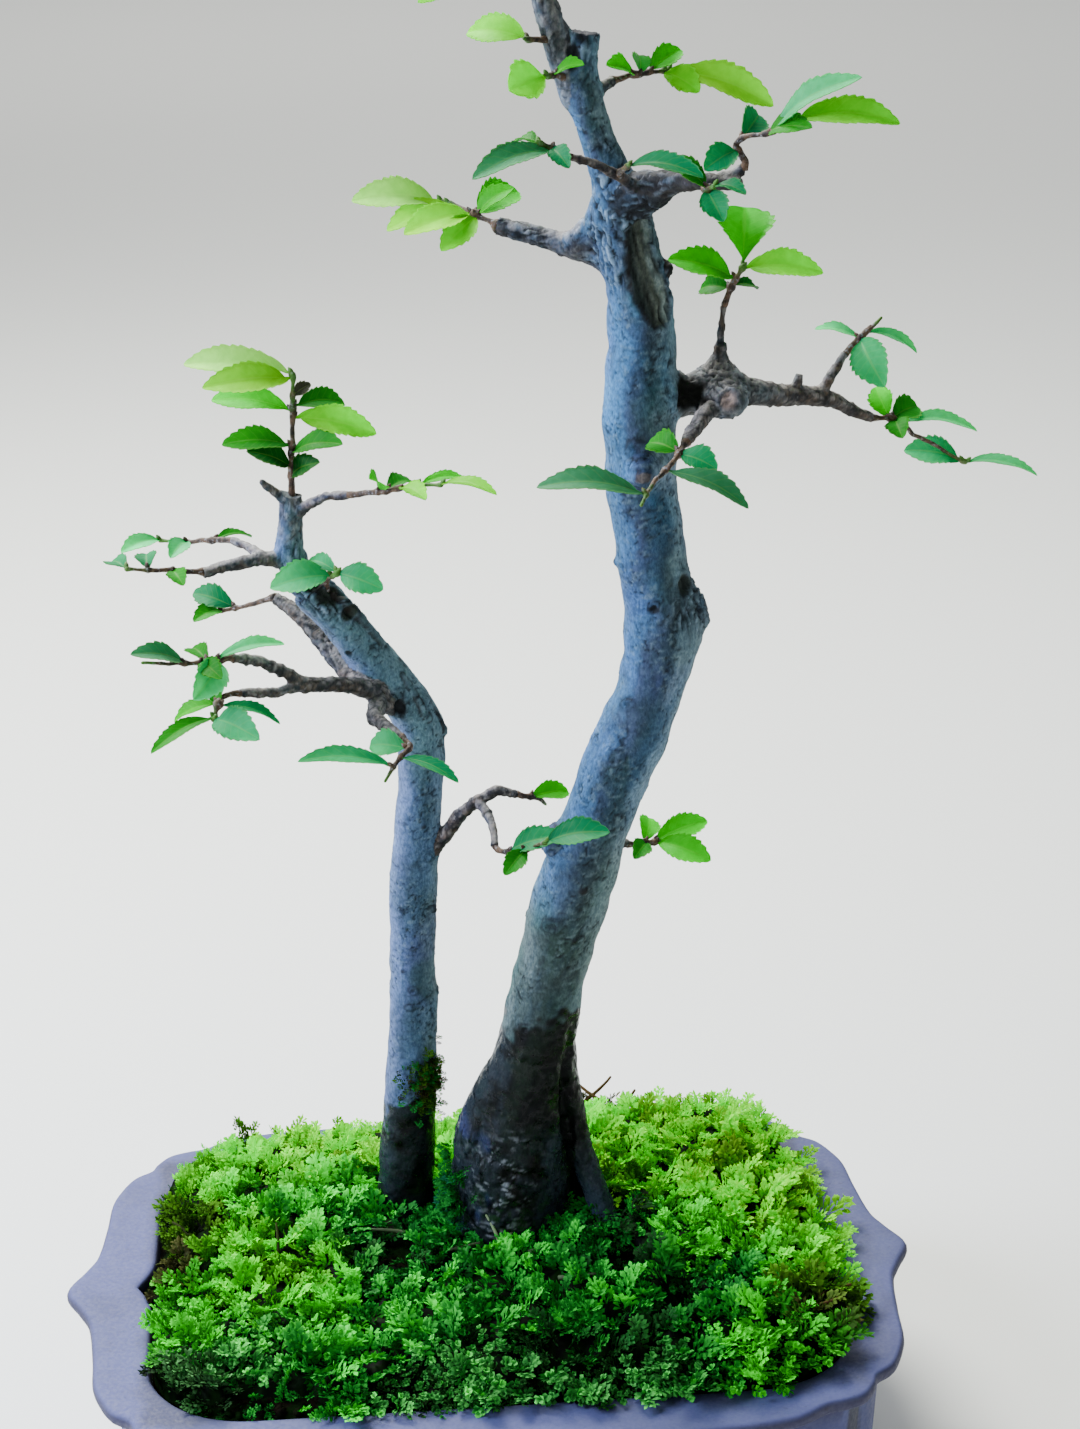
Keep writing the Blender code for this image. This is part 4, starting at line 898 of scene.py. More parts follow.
largeTree = dict(
    light="#5078a8", paintedLeftLight="#4c7aae",
    voxel=0.53, wetAt=(12, 66, 0.3), footTop=36, pitSpacing=9, shading=0.68, sheen=1, mottled=0.4,
    sunnyAbove=400, blueFrom=90, blueMiddle=1, paintedRightLight=0.52, paleFoot=0,
    limbs=dict(
        trunk=[(4, 4, -6, 11.5), (4, 4, 6, 12.2), (5, 4, 16, 12.4), (6.5, 4, 28, 11.6), (9, 3, 42, 9.9),
               (11.5, 3, 56, 9.2), (15.3, 1.5, 76, 8.3), (20.6, 0, 97, 8.4), (24.5, -1, 110, 7.8),
               (28.5, -1, 121, 7.7), (32.6, 0, 131, 8.1), (36.5, 0, 140, 7.5), (40, 1, 151, 7.8),
               (41.3, 2, 158, 8.7), (40.5, 2, 165, 8.1), (38.8, 2, 175, 7.5), (37, 3, 189, 7.6),
               (36.5, 4, 207, 7.8), (37, 4, 220, 7.3), (36.5, 3, 231, 6.7), (34.5, 2, 240, 6.1),
               (32.5, 1, 250, 6.3), (30.3, 0, 258, 4.4), (28, 0, 264, 3.7), (25.3, -1, 273, 3.5),
               (24.2, -1, 280, 3.5), (25, -1, 286.5, 3.2)],
        rootRight=[(16.5, 3, 54, 4.2), (19, 1, 43, 3.4), (21.5, 0, 31, 3.0), (24.7, -2, 21, 3.0),
                   (27.5, -4, 12, 2.9), (29.5, -5, 4, 2.6)],
        rootWeb=[(15, 6, 50, 4.5), (16.5, 7, 38, 4.2), (18, 7, 26, 4.2), (20, 6, 14, 4.6),
                 (22, 5, 4, 4.6)],
        rootLeft=[(4, 4, 46, 6), (-1.5, 5, 35, 5.8), (-3, 7, 24, 5.0), (-5, 9, 12, 4.6),
                  (-6, 10, 4, 4.0)],
        leader=[(23, 0, 274, 3.0), (20.5, -1, 281, 2.9), (18.5, -2, 288, 2.8), (17, -2, 294, 2.5),
                (15.5, -3, 300, 1.7), (14.6, -4, 304, 1.2)],
        left=[(34, 2, 240, 4.2), (28, 5, 240.3, 2.9), (22, 8, 241.5, 2.3), (15, 11, 243.5, 2.1),
              (8, 14, 245, 1.9)],
        leftFlare=[(32.5, 2, 251, 4.6), (28, 3.5, 246.5, 3.6), (24, 6, 243.5, 2.7)],
        crownBulb=[(33, -2, 252.5, 4.2), (37.5, -5.5, 254.5, 3.9), (40, -8.6, 256, 2.9)],
        rightTop=[(32, 0, 253, 3.6), (37, -7, 256.5, 2.8), (41.5, -12.5, 258.2, 2.3),
                  (47, -20, 259.5, 1.6), (53, -26, 260, 1.3)],
        rightTopFork=[(49, -22, 259.8, 1.1), (54, -24, 262.5, 1.0)],
        topTwig=[(26, -1, 274, 1.5), (31, 2, 276.3, 1.1)],
        frontTwig=[(35, -5, 255.5, 1.2), (31, -12, 259.5, 1.1), (26, -16, 262.7, 0.9),
                   (20.6, -17.6, 264.7, 0.8)],
        right=[(39, 4, 210, 5.2), (46.5, 6, 209, 4.2), (51, 7.5, 209.5, 4.7), (55, 9, 209.5, 4.9),
               (61, 11, 208, 3.1), (68, 15, 206, 2.4), (77, 20, 204, 2.2), (82, 23, 202, 1.7),
               (87, 26, 198.5, 1.4), (91, 27.7, 196.6, 1.2)],
        rightCollar=[(52.5, 7.5, 210, 4.2), (53.8, 8, 214.5, 2.7), (54.4, 8, 218.5, 1.1)],
        rightKnob=[(54, 8, 209, 4.4), (55.6, 3.5, 208.4, 4.3), (56.3, 1.6, 208.1, 3.6)],
        rightUp=[(78, 20.5, 204, 1.3), (82, 22.3, 209.5, 1.1), (84.2, 23.7, 212.2, 0.95)],
        rightStub=[(72, 17, 206, 1.1), (73, 17, 209.8, 0.9)],
        rightShoot=[(55, 9, 212, 1.6), (54.3, 8, 220, 0.85), (54.8, 7.2, 228, 0.7)],
        rightFront=[(52, 6, 207, 2.2), (49, -4, 206.8, 1.8), (45, -13, 205.5, 1.5),
                    (43.8, -16.5, 205.2, 1.2)],
        backTwig=[(25, 4, 105, 2.0), (30, 12, 103, 1.2), (34.5, 14.6, 101.2, 1.0)],
        knotLeft=[(24, -1, 109, 4.2), (16.5, -2, 110.5, 3.4), (14.4, -2.3, 111, 2.4)],
        knotRight=[(41, 2, 161, 4.8), (47.5, 1.5, 162.5, 3.8), (49.3, 1.4, 163, 2.6)],
        knotFront=[(36.5, 3, 196, 4.4), (36.2, -3.6, 195.5, 3.6), (36.1, -5.2, 195.3, 2.2)],
        cutStub=[(36, 2, 235, 2.6), (41.6, 1, 237.6, 1.8), (42.7, 0.8, 238, 1.5)]),
    # limbs that end in a flat cut, with the tone of the wood there
    cutEnds=dict(trunk="#3b3a40", rightKnob="#8d7a70", cutStub="#14110f"),
    # limbs darkened between their bark plates: partly their own stain, partly painted shade, as on the
    # crown's bulb in deep shadow
    stainsAndShade=dict(cutStub="#12110d", crownBulb="#1b1c1e", rightTop="#2a2725"),
    warm=("right", "rightCollar", "rightKnob", "rightFront", "leader"),
    # hollows and old scars: (x, y, z, half width, half height, depth, height of the lip round it, tone)
    hollows=[(45, -3, 169.5, 1.9, 2.3, 1.1, 0.6, "#2c3430"),
             (38.5, -5.5, 165, 1.1, 0.9, 0.6, 0.3, "#1d232b"),
             (36, -5, 195, 1.7, 1.5, 0.7, 0.4, "#33414a"), (46.9, 1, 211, 3.3, 4.2, 1.0, 0.2, "#141510"),
             (55.2, -1.4, 209.4, 1.9, 1.9, 0.3, 0.7, "#8d7a70"),
             (16, -3, 111, 1.7, 1.4, 0.8, 0.4, "#35434a"), (29, -8.5, 132, 1.4, 2.0, 0.5, 0.3, "#33424e"),
             (24, -7, 286, 2.6, 2.2, 0.8, 0.2, "#1f2226"),
             (22.5, -3.5, 282, 1.6, 3.0, 0.7, 0.2, "#22262a")],
    # long scars of torn bark: (x, y, z, half width) down their middle
    scars=[[(35.8, -4, 247.5, 2.4), (36.2, -4, 240.5, 3.1), (37.8, -3.5, 235.3, 3.6),
            (39.2, -3, 231.5, 3.5), (40, -2.6, 228.6, 2.4)]],
    # the scar's tones from its shaded left wall to its lit right
    scarTones=("#1e2725", "#474d44", "#66736e"),
    # knots: wrinkles ring them, out to that distance
    knots=[(46, 0, 166, 9), (36, -4, 195.5, 8), (16, -3, 111, 8), (50, 0, 160, 5), (55, 3, 209, 8),
           (29, -8, 131, 6)],
    # where the bark is old and cracked: (x, y, z, reach)
    rough=[(33, 0, 250, 17), (38, -6, 255, 9), (42, -12, 258, 7), (52, 6, 210, 11), (46, 0, 164, 8),
           (22, -2, 287, 9), (18, -3, 298, 8), (43, -1, 234, 6), (14, 11, 243.5, 9)],
    nubs=[(22, -8.4, 101, 1.0), (35.5, -7.5, 176, 0.8), (30.6, -0.5, 173.9, 1.0), (30.5, -4.5, 222, 0.8),
          (43.5, -2, 190, 0.9), (12, -5.6, 68, 0.9), (40, -6, 148, 0.9), (20, -7.5, 88, 0.7),
          (42.6, -1, 238, 1.0), (31.1, 2.5, 173.5, 1.0), (45.3, 1, 231, 1.0), (49.6, 1.5, 159.4, 1.3),
          (8, -5, 58, 0.8), (61, 8, 205.5, 0.9), (66, 12, 203.8, 0.9), (16, 9, 243, 0.9),
          (20, 6.5, 240, 0.9), (29.5, 3, 253.5, 1.0)],
    eyes=[(10.5, 2.2, 90.8, 0.9), (15.2, -7.1, 91.8, 2.4), (21.2, -7.6, 88, 1.3), (9.3, -4.2, 77.1, 0.8),
          (8.6, -5.2, 65, 1.5), (2.7, -4.4, 43.9, 1.2), (38.2, -5.7, 165.7, 1.5), (25.6, -3.0, 134, 1.2),
          (32.4, -5.6, 143.4, 1.6), (35, -3.9, 200.3, 2.6), (33, -3, 186, 0.9), (30, -8, 118, 1.1)],
    ridges=[],
    # grooves, as (x, y, z, depth) points they follow: cut in and painted nearly black as the shade down
    # them
    grooves=[[(19.4, -3.6, 66, 0.5), (18.9, -2.9, 58, 1), (17.4, -3.6, 51, 1.4), (17.9, -2.4, 43, 2),
              (19.0, -1.5, 34, 2.4), (20.4, 1.5, 24, 2.4), (21.6, 2.3, 15, 2)],
             [(4.5, -7.4, 29, 0.6), (9.1, -7.3, 28.1, 1), (13.5, -5, 26, 0.6)]])

smallTree = dict(
    light="#5e7ca0", paintedLeftLight="#7c8cba",
    voxel=0.42, wetAt=(-18, 41, 1.1), footTop=2, pitSpacing=8, shading=0.16, sheen=0, mottled=0.25,
    sunnyAbove=118, blueFrom=-80, blueMiddle=0.3, paintedRightLight=0.3, paleFoot=0.9,
    limbs=dict(
        trunk=[(-19.5, 14, -6, 5.8), (-19.6, 14, 6, 6.4), (-19.3, 14, 15, 6.5), (-18.5, 14, 26, 6.4),
               (-17.5, 14, 40, 6.0), (-16.5, 13.5, 53, 5.8), (-16, 13, 66, 5.6), (-15.8, 12.5, 79, 5.3),
               (-15.2, 12, 92, 5.4), (-14, 11, 105, 5.3), (-12.9, 10.5, 117, 5.2), (-12, 10, 127, 5.3),
               (-12.2, 10, 134, 5.4), (-15, 10, 140.5, 5.1), (-19.2, 9.5, 147, 4.9), (-23.5, 9, 153, 4.8),
               (-27.5, 8.5, 159, 4.7), (-31.5, 8, 164.5, 4.6), (-34.5, 8, 168.3, 4.5)],
        leader=[(-33, 8, 165, 3.4), (-37.5, 7.5, 171, 3.3), (-39.3, 7, 177, 3.2), (-38.6, 7, 184, 2.7),
                (-38.2, 7, 190, 2.4)],
        leaderStub=[(-38.4, 7, 188, 1.4), (-42, 6, 191.5, 0.9), (-44.5, 5.5, 194, 0.7)],
        topRight=[(-38, 7, 185.5, 1.5), (-34.5, 4.5, 188.5, 1.2), (-30.5, 0, 191.6, 1.0),
                  (-26, -3.4, 192.7, 0.9)],
        leftTop=[(-39, 7, 175, 1.9), (-45, 5, 176.8, 1.5), (-52, 2, 176.5, 1.3), (-57.5, -0.8, 176, 1.1)],
        leftTopFork=[(-45, 5, 177, 1.2), (-48.5, 9.5, 178.5, 1.0), (-51.3, 12.5, 178.6, 0.9)],
        leftLow=[(-19, 9, 143, 2.6), (-23, 2, 146.5, 2.1), (-27, -2, 149.5, 1.8), (-32, -6, 151.5, 1.7),
                 (-37, -10, 153, 1.6)],
        leftLowUpper=[(-37, -10, 153, 1.5), (-41, -12.5, 157, 1.3), (-46, -16, 161, 1.2),
                      (-51.5, -19.3, 163.2, 1.0)],
        leftLowLower=[(-37, -10, 153, 1.3), (-43, -15, 153.5, 1.1), (-50.5, -19.3, 155.3, 0.9)],
        leftMid=[(-24, 4, 147, 1.7), (-28, 9, 148.5, 2.1), (-31.5, 13, 152.5, 2.3), (-35.5, 16, 157, 2.0),
                 (-40, 18.5, 160.8, 1.6), (-43, 20, 162.6, 1.2)],
        front=[(-18, 8, 140, 1.9), (-21.5, 0.5, 144, 2.0), (-22.5, -7, 143.5, 1.8),
               (-19.5, -12.5, 143, 1.3), (-17, -15.4, 142.3, 1.0)],
        lowRight=[(-12.5, 10, 103, 2.2), (-7.5, 8, 108.5, 1.7), (-4, 5.5, 114.5, 1.5),
                  (-1, 3.3, 118, 1.4), (4, 2, 121.5, 1.2), (8.5, 3.6, 119.6, 0.9)],
        lowRightDrop=[(0, 3, 118.8, 1.2), (2.6, -3, 116, 1.0), (2.8, -8.5, 112.6, 0.9)]),
    # the small trunk's cut end is painted nearly black as the shadow under the leaves over it
    cutEnds=dict(trunk="#0d0d0b", leaderStub="#3d3230"),
    stainsAndShade=dict(),
    warm=("leftLow", "lowRight", "front", "leftMid"),
    hollows=[(-16.5, 4.5, 141, 1.5, 2.2, 0.9, 0.4, "#1a1d20"),
             (-22.5, -1.5, 141.5, 1.3, 1.2, 0.8, 0.5, "#181c1e"),
             (-30.5, 11, 151, 1.1, 0.9, 0.6, 0.3, "#232a2c"),
             (-33, 13.5, 154.5, 0.8, 0.7, 0.5, 0.3, "#2b3234"),
             (-27.3, 4.6, 154.4, 0.8, 0.7, 0.4, 0.2, "#1c282c"),
             # the next three, round the cut end, are painted dark as the shadow under the leaves there
             (-30.9, 4.2, 167.6, 3.0, 2.0, 0.6, 0.3, "#2a2f2b"),
             (-27.2, 4.6, 163.6, 1.6, 1.6, 0.4, 0.2, "#2a2f2a"),
             (-34.6, 4.2, 170, 2.2, 1.3, 0.4, 0.2, "#262a24")],
    eyes=[(-16, 7.3, 70, 1.2), (-17.1, 7.5, 65.8, 1.1), (-10.3, 12.8, 67.4, 1.2), (-18.1, 7.4, 90.6, 0.8),
          (-18.7, 8.1, 154.4, 1.0), (-12, 6, 120, 0.8), (-21.5, 4.8, 155.5, 1.1)],
    scars=[],
    knots=[(-22.5, -2, 142, 5), (-16.5, 4.5, 141, 6), (-10, 8, 89.7, 5), (-12, 7, 104, 6)],
    rough=[(-33, 6, 168, 8), (-30, 6, 165, 6), (-38.5, 6.5, 174, 6), (-31, 12, 152, 6), (-22, -2, 143, 5),
           (-18, 7, 142, 5), (-38.5, 6, 187, 4)],
    nubs=[(-10.2, 9, 89.7, 1.2), (-10.4, 9, 68.5, 1.1), (-20.9, 9.5, 90.8, 0.9), (-22, 9.5, 61.4, 0.9),
          (-18.2, 7.6, 75, 0.6), (-12.5, 5.8, 112, 0.7), (-31, 4.5, 152, 1.0), (-36.6, 5.5, 170.5, 1.3),
          (-31.4, 5, 172.4, 1.6), (-34, 3.4, 171, 1.2), (-29.5, 5, 168.5, 1.0), (-8, 7, 131, 0.8)],
    # raised edges of old bark, as points that they follow with their height, and a dark line along their
    # edge
    ridges=[[(-29.5, 4.5, 168.5, 1.2), (-26.5, 5.6, 164.6, 1.5), (-22.6, 6.6, 158.6, 1.0),
             (-20, 7, 155.6, 0.5)],
            [(-15, 8.4, 151.4, 0.4), (-12, 8.2, 147, 1.0), (-9, 8.2, 142, 1.2), (-6.9, 8.2, 136, 1.0),
             (-6.2, 8.8, 132.4, 1.2)],
            [(-15.6, 6.2, 148.4, 0.4), (-12.8, 5.6, 143.2, 0.6), (-10.6, 5.4, 138, 0.4)]],
    grooves=[])

# Bark of a young elm: smooth slate blue with lengthwise lines, wrinkles round its knots and a few dark
# breathing pores, cracked where it is old, and soaked nearly black at the foot
bark = dict(
    lightLow="#606f6e", lightTop="#4886a8", grey="#40596a", greyLow="#455552", green="#3c5f5c",
    violet="#565e8e", crack="#131619", pit="#101317", pale="#8ba3a6", sunny="#62838a",
    shade="#20292e", shadeGreen="#22382e", rough="#333d45", roughPale="#8fa8ba", warm="#666058",
    warmPale="#aea6a0", twig="#64513f", twigDark="#2a2019",
    wet="#060808", wetSheen="#7d8184", wetBrown="#0f0b09", wetGreen="#0e1810", wetBlue="#20292d",
    wetViolet="#3a4170", algae="#1a3a16", rootPale="#36444e",
    lineMm=1.1, lineStretch=4.0, wrinkleMm=1.7, wormMm=1.9, fissureMm=1.2, waveMm=9.0)


def limbField(points, line, flatEnd, turn):
    # distance to a tapering limb, its outward direction, and skin coordinates that follow it
    first, last = line[0, :3], line[-1, :3]
    overall = unit(last - first)
    across = unit(np.cross(overall, (0.3, 1, 0.2)))
    third = np.cross(overall, across)
    nearest = np.full(len(points), 1e9)
    outward, skin = np.zeros((len(points), 3)), np.zeros((len(points), 3))
    radius, atCut = np.zeros(len(points)), np.zeros(len(points))
    travelled = 0.0
    for k in range(len(line) - 1):
        start, span = line[k, :3], line[k + 1, :3] - line[k, :3]
        length = np.linalg.norm(span)
        along = span / length
        offset = points - start
        reach = offset @ along
        clamped = np.clip(reach, 0, length)
        here = line[k, 3] + (line[k + 1, 3] - line[k, 3]) * clamped / length
        radial = offset - clamped[:, None] * along
        distance = np.linalg.norm(radial, axis=1) - here
        direction = unit(radial)
        cut = np.zeros(len(points))
        if flatEnd and k == len(line) - 2:
            side = offset - reach[:, None] * along
            wall = np.linalg.norm(side, axis=1) - here
            over = reach - length
            share = np.clip(0.5 + 0.5 * (over - wall) / 0.5, 0, 1)
            near = reach > 0
            flatDistance = wall + (over - wall) * share + 0.5 * share * (1 - share)
            distance = np.where(near, flatDistance, distance)
            direction = np.where(near[:, None], unit(mixed(unit(side), along, share)), direction)
            cut = near * smoothStep(0.3, 0.9, share)
        closer = distance < nearest
        nearest = np.where(closer, distance, nearest)
        outward[closer] = direction[closer]
        radius[closer] = here[closer]
        atCut[closer] = cut[closer]
        place = travelled + clamped
        coordinates = np.column_stack((radial @ across, radial @ third, place + 57.0 * turn))
        skin[closer] = coordinates[closer]
        travelled += length
    return nearest, outward, skin, radius, atCut


def woodField(points, tree, lines):
    # smooth union of all limbs
    count = len(points)
    total = dict(distance=np.full(count, 1e3), nearest=np.full(count, 1e3), outward=np.zeros((count, 3)),
                 skin=np.zeros((count, 3)), radius=np.ones(count), cut=np.zeros(count),
                 limb=np.zeros(count, int))
    for number, (name, line) in enumerate(lines.items()):
        margin = 7 + line[:, 3].max()
        low, high = line[:, :3].min(0) - margin, line[:, :3].max(0) + margin
        inside = np.nonzero(np.all((points > low) & (points < high), axis=1))[0]
        if not len(inside):
            continue
        distance, outward, skin, radius, cut = limbField(points[inside], line, name in tree["cutEnds"],
                                                         number)
        blend = float(np.clip(0.7 * line[0, 3], 0.7, 3.0))
        known = total["distance"][inside]
        share = np.clip(0.5 + 0.5 * (known - distance) / blend, 0, 1)
        total["distance"][inside] = known + (distance - known) * share - blend * share * (1 - share)
        total["outward"][inside] = mixed(total["outward"][inside], outward, share)
        closer = distance < total["nearest"][inside]
        chosen = inside[closer]
        total["nearest"][chosen] = distance[closer]
        total["skin"][chosen] = skin[closer]
        total["radius"][chosen] = radius[closer]
        total["cut"][chosen] = cut[closer]
        total["limb"][chosen] = number
    total["outward"] = unit(total["outward"])
    return total


def nearestOf(points, centres):
    # distance to the nearest centre, and its number
    tree = KDTree(len(centres))
    for number, centre in enumerate(centres):
        tree.insert(centre, number)
    tree.balance()
    found = [tree.find(point) for point in points]
    return np.array([hit[2] for hit in found]), np.array([hit[1] for hit in found])


def alongLine(points, line):
    # distance to a line of (x, y, z, amount) points, and the amount there
    best, amount = np.full(len(points), 1e9), np.zeros(len(points))
    line = np.array(line, float)
    for start, end in zip(line[:-1], line[1:]):
        span = end[:3] - start[:3]
        share = np.clip((points - start[:3]) @ span / (span @ span), 0, 1)
        away = np.linalg.norm(points - start[:3] - share[:, None] * span, axis=1)
        amount = np.where(away < best, start[3] + (end[3] - start[3]) * share, amount)
        best = np.minimum(best, away)
    return best, amount


def warmLimbs(tree):
    # limbs whose bark is a warmer grey than the trunk's
    names = list(tree["limbs"])
    return [names.index(name) for name in tree["warm"]]


def barkRelief(points, field, tree):
    # how far the bark stands out, and masks for its colours
    skin, radius = field["skin"], field["radius"]
    size = np.clip(radius / 8, 0.12, 1)
    thick = np.minimum(1, radius / 3.2)
    ragged = 4 * noise(points, 8, 51) + 2.5 * noise(points, 2.6, 52)
    line = tree["wetAt"][1] + tree["wetAt"][2] * (points[:, 0] - tree["wetAt"][0])
    wet = smoothStep(1.4, -1.4, points[:, 2] - line + ragged)
    foot = wet * smoothStep(tree["footTop"] + 6, tree["footTop"] - 8,
                            points[:, 2] + 6 * noise(points, 9, 50))
    old = np.zeros(len(points))
    for x, y, z, reach in tree["rough"]:
        away = np.linalg.norm(points - (x, y, z), axis=1) / reach + 0.35 * noise(points, 4, 64)
        old = np.maximum(old, smoothStep(1.2, 0.4, away))
    thin = smoothStep(3.3, 2.3, radius) * (1 - 0.5 * old)
    dry = 1 - wet

    relief = size * (0.45 * noise(skin, bark["waveMm"], 53) + 0.25 * noise(skin, bark["waveMm"] / 2, 54))
    lines = noise(skin / (1, 1, bark["lineStretch"]), bark["lineMm"], 55)
    relief += thick * 0.03 * lines
    # worm-like wrinkles, mostly across the stem
    bent = skin + 1.1 * np.column_stack([noise(skin, 2.6, seed) for seed in (43, 44, 45)])
    worms = smoothStep(0.88, 0.985, creases(bent / (1.7, 1.7, 1), bark["wormMm"], 46))
    wormed = smoothStep(-0.5, 0.2, noise(skin / (1, 1, 1.4), 8, 47)) * dry
    relief -= thick * wormed * 0.2 * worms
    flecks = smoothStep(0.25, 0.6, noise(bent / (2.2, 2.2, 1), 0.8, 48)) * (0.25 + 0.75 * wormed)
    relief += thick * 0.03 * flecks
    wrinkle = smoothStep(0.8, 1, creases(skin / (1.4, 1.4, 1), bark["wrinkleMm"], 56))
    relief -= thick * 0.06 * wrinkle
    flow = skin + 0.9 * np.column_stack([noise(skin, 5, seed) for seed in (93, 94, 95)])
    fissure = smoothStep(0.7, 0.95, creases(flow / (1, 1, 4.5), bark["fissureMm"], 57))
    plates = noise(flow / (1, 1, 3.5), bark["fissureMm"] * 0.8, 58)
    relief += old * thick * (0.25 * plates + 0.25 * noise(skin, 3.5, 40) - 0.55 * fissure)
    rings = smoothStep(0.8, 0.97, creases(bent * (0.35, 0.35, 1), 1.5, 59))
    relief += thin * (0.24 * noise(bent, 2.0, 65) - 0.1 * rings)
    # low rings where twigs have been, unevenly along thin limbs
    phase = skin[:, 2] / 3.1 + 0.35 * noise(skin / (3, 3, 1), 5, 97)
    nodeStrength = thin * smoothStep(-0.1, 0.4, noise(skin / (2, 2, 1), 3.5, 98))
    relief += 0.22 * nodeStrength * smoothStep(0.5, 1, np.cos(2 * math.pi * phase))
    nodes = nodeStrength * smoothStep(0.75, 1, np.cos(2 * math.pi * (phase - 0.18)))
    lumps = noise(skin, 3.2, 60) * 0.6 + noise(skin, 1.3, 61) * 0.4
    cracked = smoothStep(0.86, 1, creases(bent / (1.5, 1.5, 1), 5, 66))
    relief += np.minimum(1, radius / 6) * (foot * (0.6 * lumps - 0.4 * cracked)
                                           + 0.12 * wet * noise(bent, 2.0, 49))

    draw = np.random.default_rng(int(1000 * tree["voxel"]))
    centres = points[draw.integers(0, len(points),
                                   int(len(points) * tree["voxel"]**2 / tree["pitSpacing"]**2))]
    away, number = nearestOf(points, centres)
    wide = draw.uniform(0.25, 0.6, len(centres))[number]
    pit = smoothStep(1.0, 0.5, away / wide) * (1 - thin) * draw.uniform(0.3, 1, len(centres))[number]
    relief += thick * (0.12 * np.exp(-((away / wide - 1.5) / 0.4)**2) - 0.25 * pit)

    knotRing = np.zeros(len(points))
    for x, y, z, reach in tree["knots"]:
        away = np.linalg.norm((points - (x, y, z)) / (1, 1, 0.8), axis=1) + 0.9 * noise(points, 2.5, 67)
        fade = smoothStep(reach, 0.35 * reach, away) * (1 - thin)
        knotRing = np.maximum(knotRing, fade * smoothStep(0.35, 1, np.cos(away * 4.2)))
        relief += 0.16 * fade * np.cos(away * 4.2)
    eye = np.zeros(len(points))
    for x, y, z, reach in tree["eyes"]:  # scars of old buds: a dark crescent round a low bump
        offset = (points - (x, y, z)) / (1, 1, 0.8)
        away = np.linalg.norm(offset, axis=1) / reach + 0.35 * noise(points, 1.4, 85)
        crescent = 0.45 + 0.55 * smoothStep(-0.6, 0.6, (offset[:, 2] - offset[:, 0]) / reach)
        eye = np.maximum(eye, crescent * np.exp(-((away - 1) / 0.3)**2)
                         + 0.75 * smoothStep(0.5, 0.25, away))
        relief += 0.35 * np.exp(-((away - 0.75) / 0.3)**2) - 0.2 * smoothStep(0.5, 0.2, away)

    hollow, hollowTone = np.zeros(len(points)), np.zeros((len(points), 3))
    lip = np.zeros(len(points))
    strands = noise(skin / (1, 1, 7) + 0.25 * noise(skin, 3, 86)[:, None], 0.9, 87)
    for x, y, z, halfWidth, halfHeight, depth, rim, tone in tree["hollows"]:
        flat = points - (x, y, z)
        reach = np.sqrt((flat[:, 0]**2 + 0.6 * flat[:, 1]**2) / halfWidth**2 + (flat[:, 2] / halfHeight)**2)
        reach = reach + 0.2 * noise(points, 2.2, 62)
        relief -= depth * smoothStep(1, 0.45, reach)
        ring = np.exp(-((reach - 1.3) / 0.28)**2)
        relief += rim * ring
        inside = smoothStep(1.12, 0.85, reach)
        hollowTone = mixed(hollowTone, linear(tone), inside > hollow)
        hollow = np.maximum(hollow, inside)
        lip = np.maximum(lip, 0.35 * np.exp(-((reach - 1.08) / 0.12)**2))
    folds, across = np.zeros(len(points)), np.zeros(len(points))
    for line in tree["scars"]:
        away, halfWidth = alongLine(points, line)
        steps = np.array(line[::-1])
        across = (points[:, 0] - np.interp(points[:, 2], steps[:, 2], steps[:, 0])) / halfWidth
        reach = away / halfWidth + 0.16 * noise(points, 3, 103) + 0.1 * noise(points / (1, 1, 2), 1.2, 104)
        inside = smoothStep(1.1, 0.9, reach)
        folds = inside * np.cos(2 * math.pi * (across * halfWidth / 1.7 + 0.5 * noise(points, 6, 105)))
        relief += inside * (0.2 * folds + 0.3 * strands) - 1.1 * smoothStep(1, 0.5, reach)
        relief += 0.6 * np.exp(-((reach - 1.3) / 0.22)**2)
        # painted light and shade inside the scar: its left wall darker as shade, its right wall paler as
        # lit, its lip darker on the left
        dark, middle, pale = (linear(tone) for tone in tree["scarTones"])
        tones = mixed(dark, middle, smoothStep(-0.9, 0.1, across))
        sunlit = across + 0.5 * noise(points / (1, 1, 3), 1.6, 106)
        tones = mixed(tones, pale, 0.75 * smoothStep(0.2, 1, sunlit))
        hollowTone = tones + (hollowTone - tones) * (inside < hollow)[:, None]
        hollow = np.maximum(hollow, inside)
        lip = np.maximum(lip, np.exp(-((reach - 1.08) / 0.13)**2)
                         * (0.3 + 0.65 * smoothStep(0.1, -0.5, across)))
    for x, y, z, nubRadius in tree["nubs"]:
        away = np.linalg.norm(points - (x, y, z), axis=1) / (nubRadius * 1.7)
        relief += nubRadius * 0.85 * smoothStep(1, 0.1, away)
        lip = np.maximum(lip, 0.85 * smoothStep(0.8, 0.3, away))
    for ridge in tree["ridges"]:  # loose edges of bark
        away, high = alongLine(points, ridge)
        away = away + 0.3 * noise(points, 3.5, 68) + 0.15 * noise(points, 1.1, 39)
        relief += high * smoothStep(1.0, 0.5, away)
        edge = np.exp(-((away - 0.95) / 0.28)**2) + 0.35 * smoothStep(0.9, 0.6, away)
        lip = np.maximum(lip, np.minimum(1, edge) * smoothStep(-0.7, -0.1, noise(bent, 1.5, 38)))
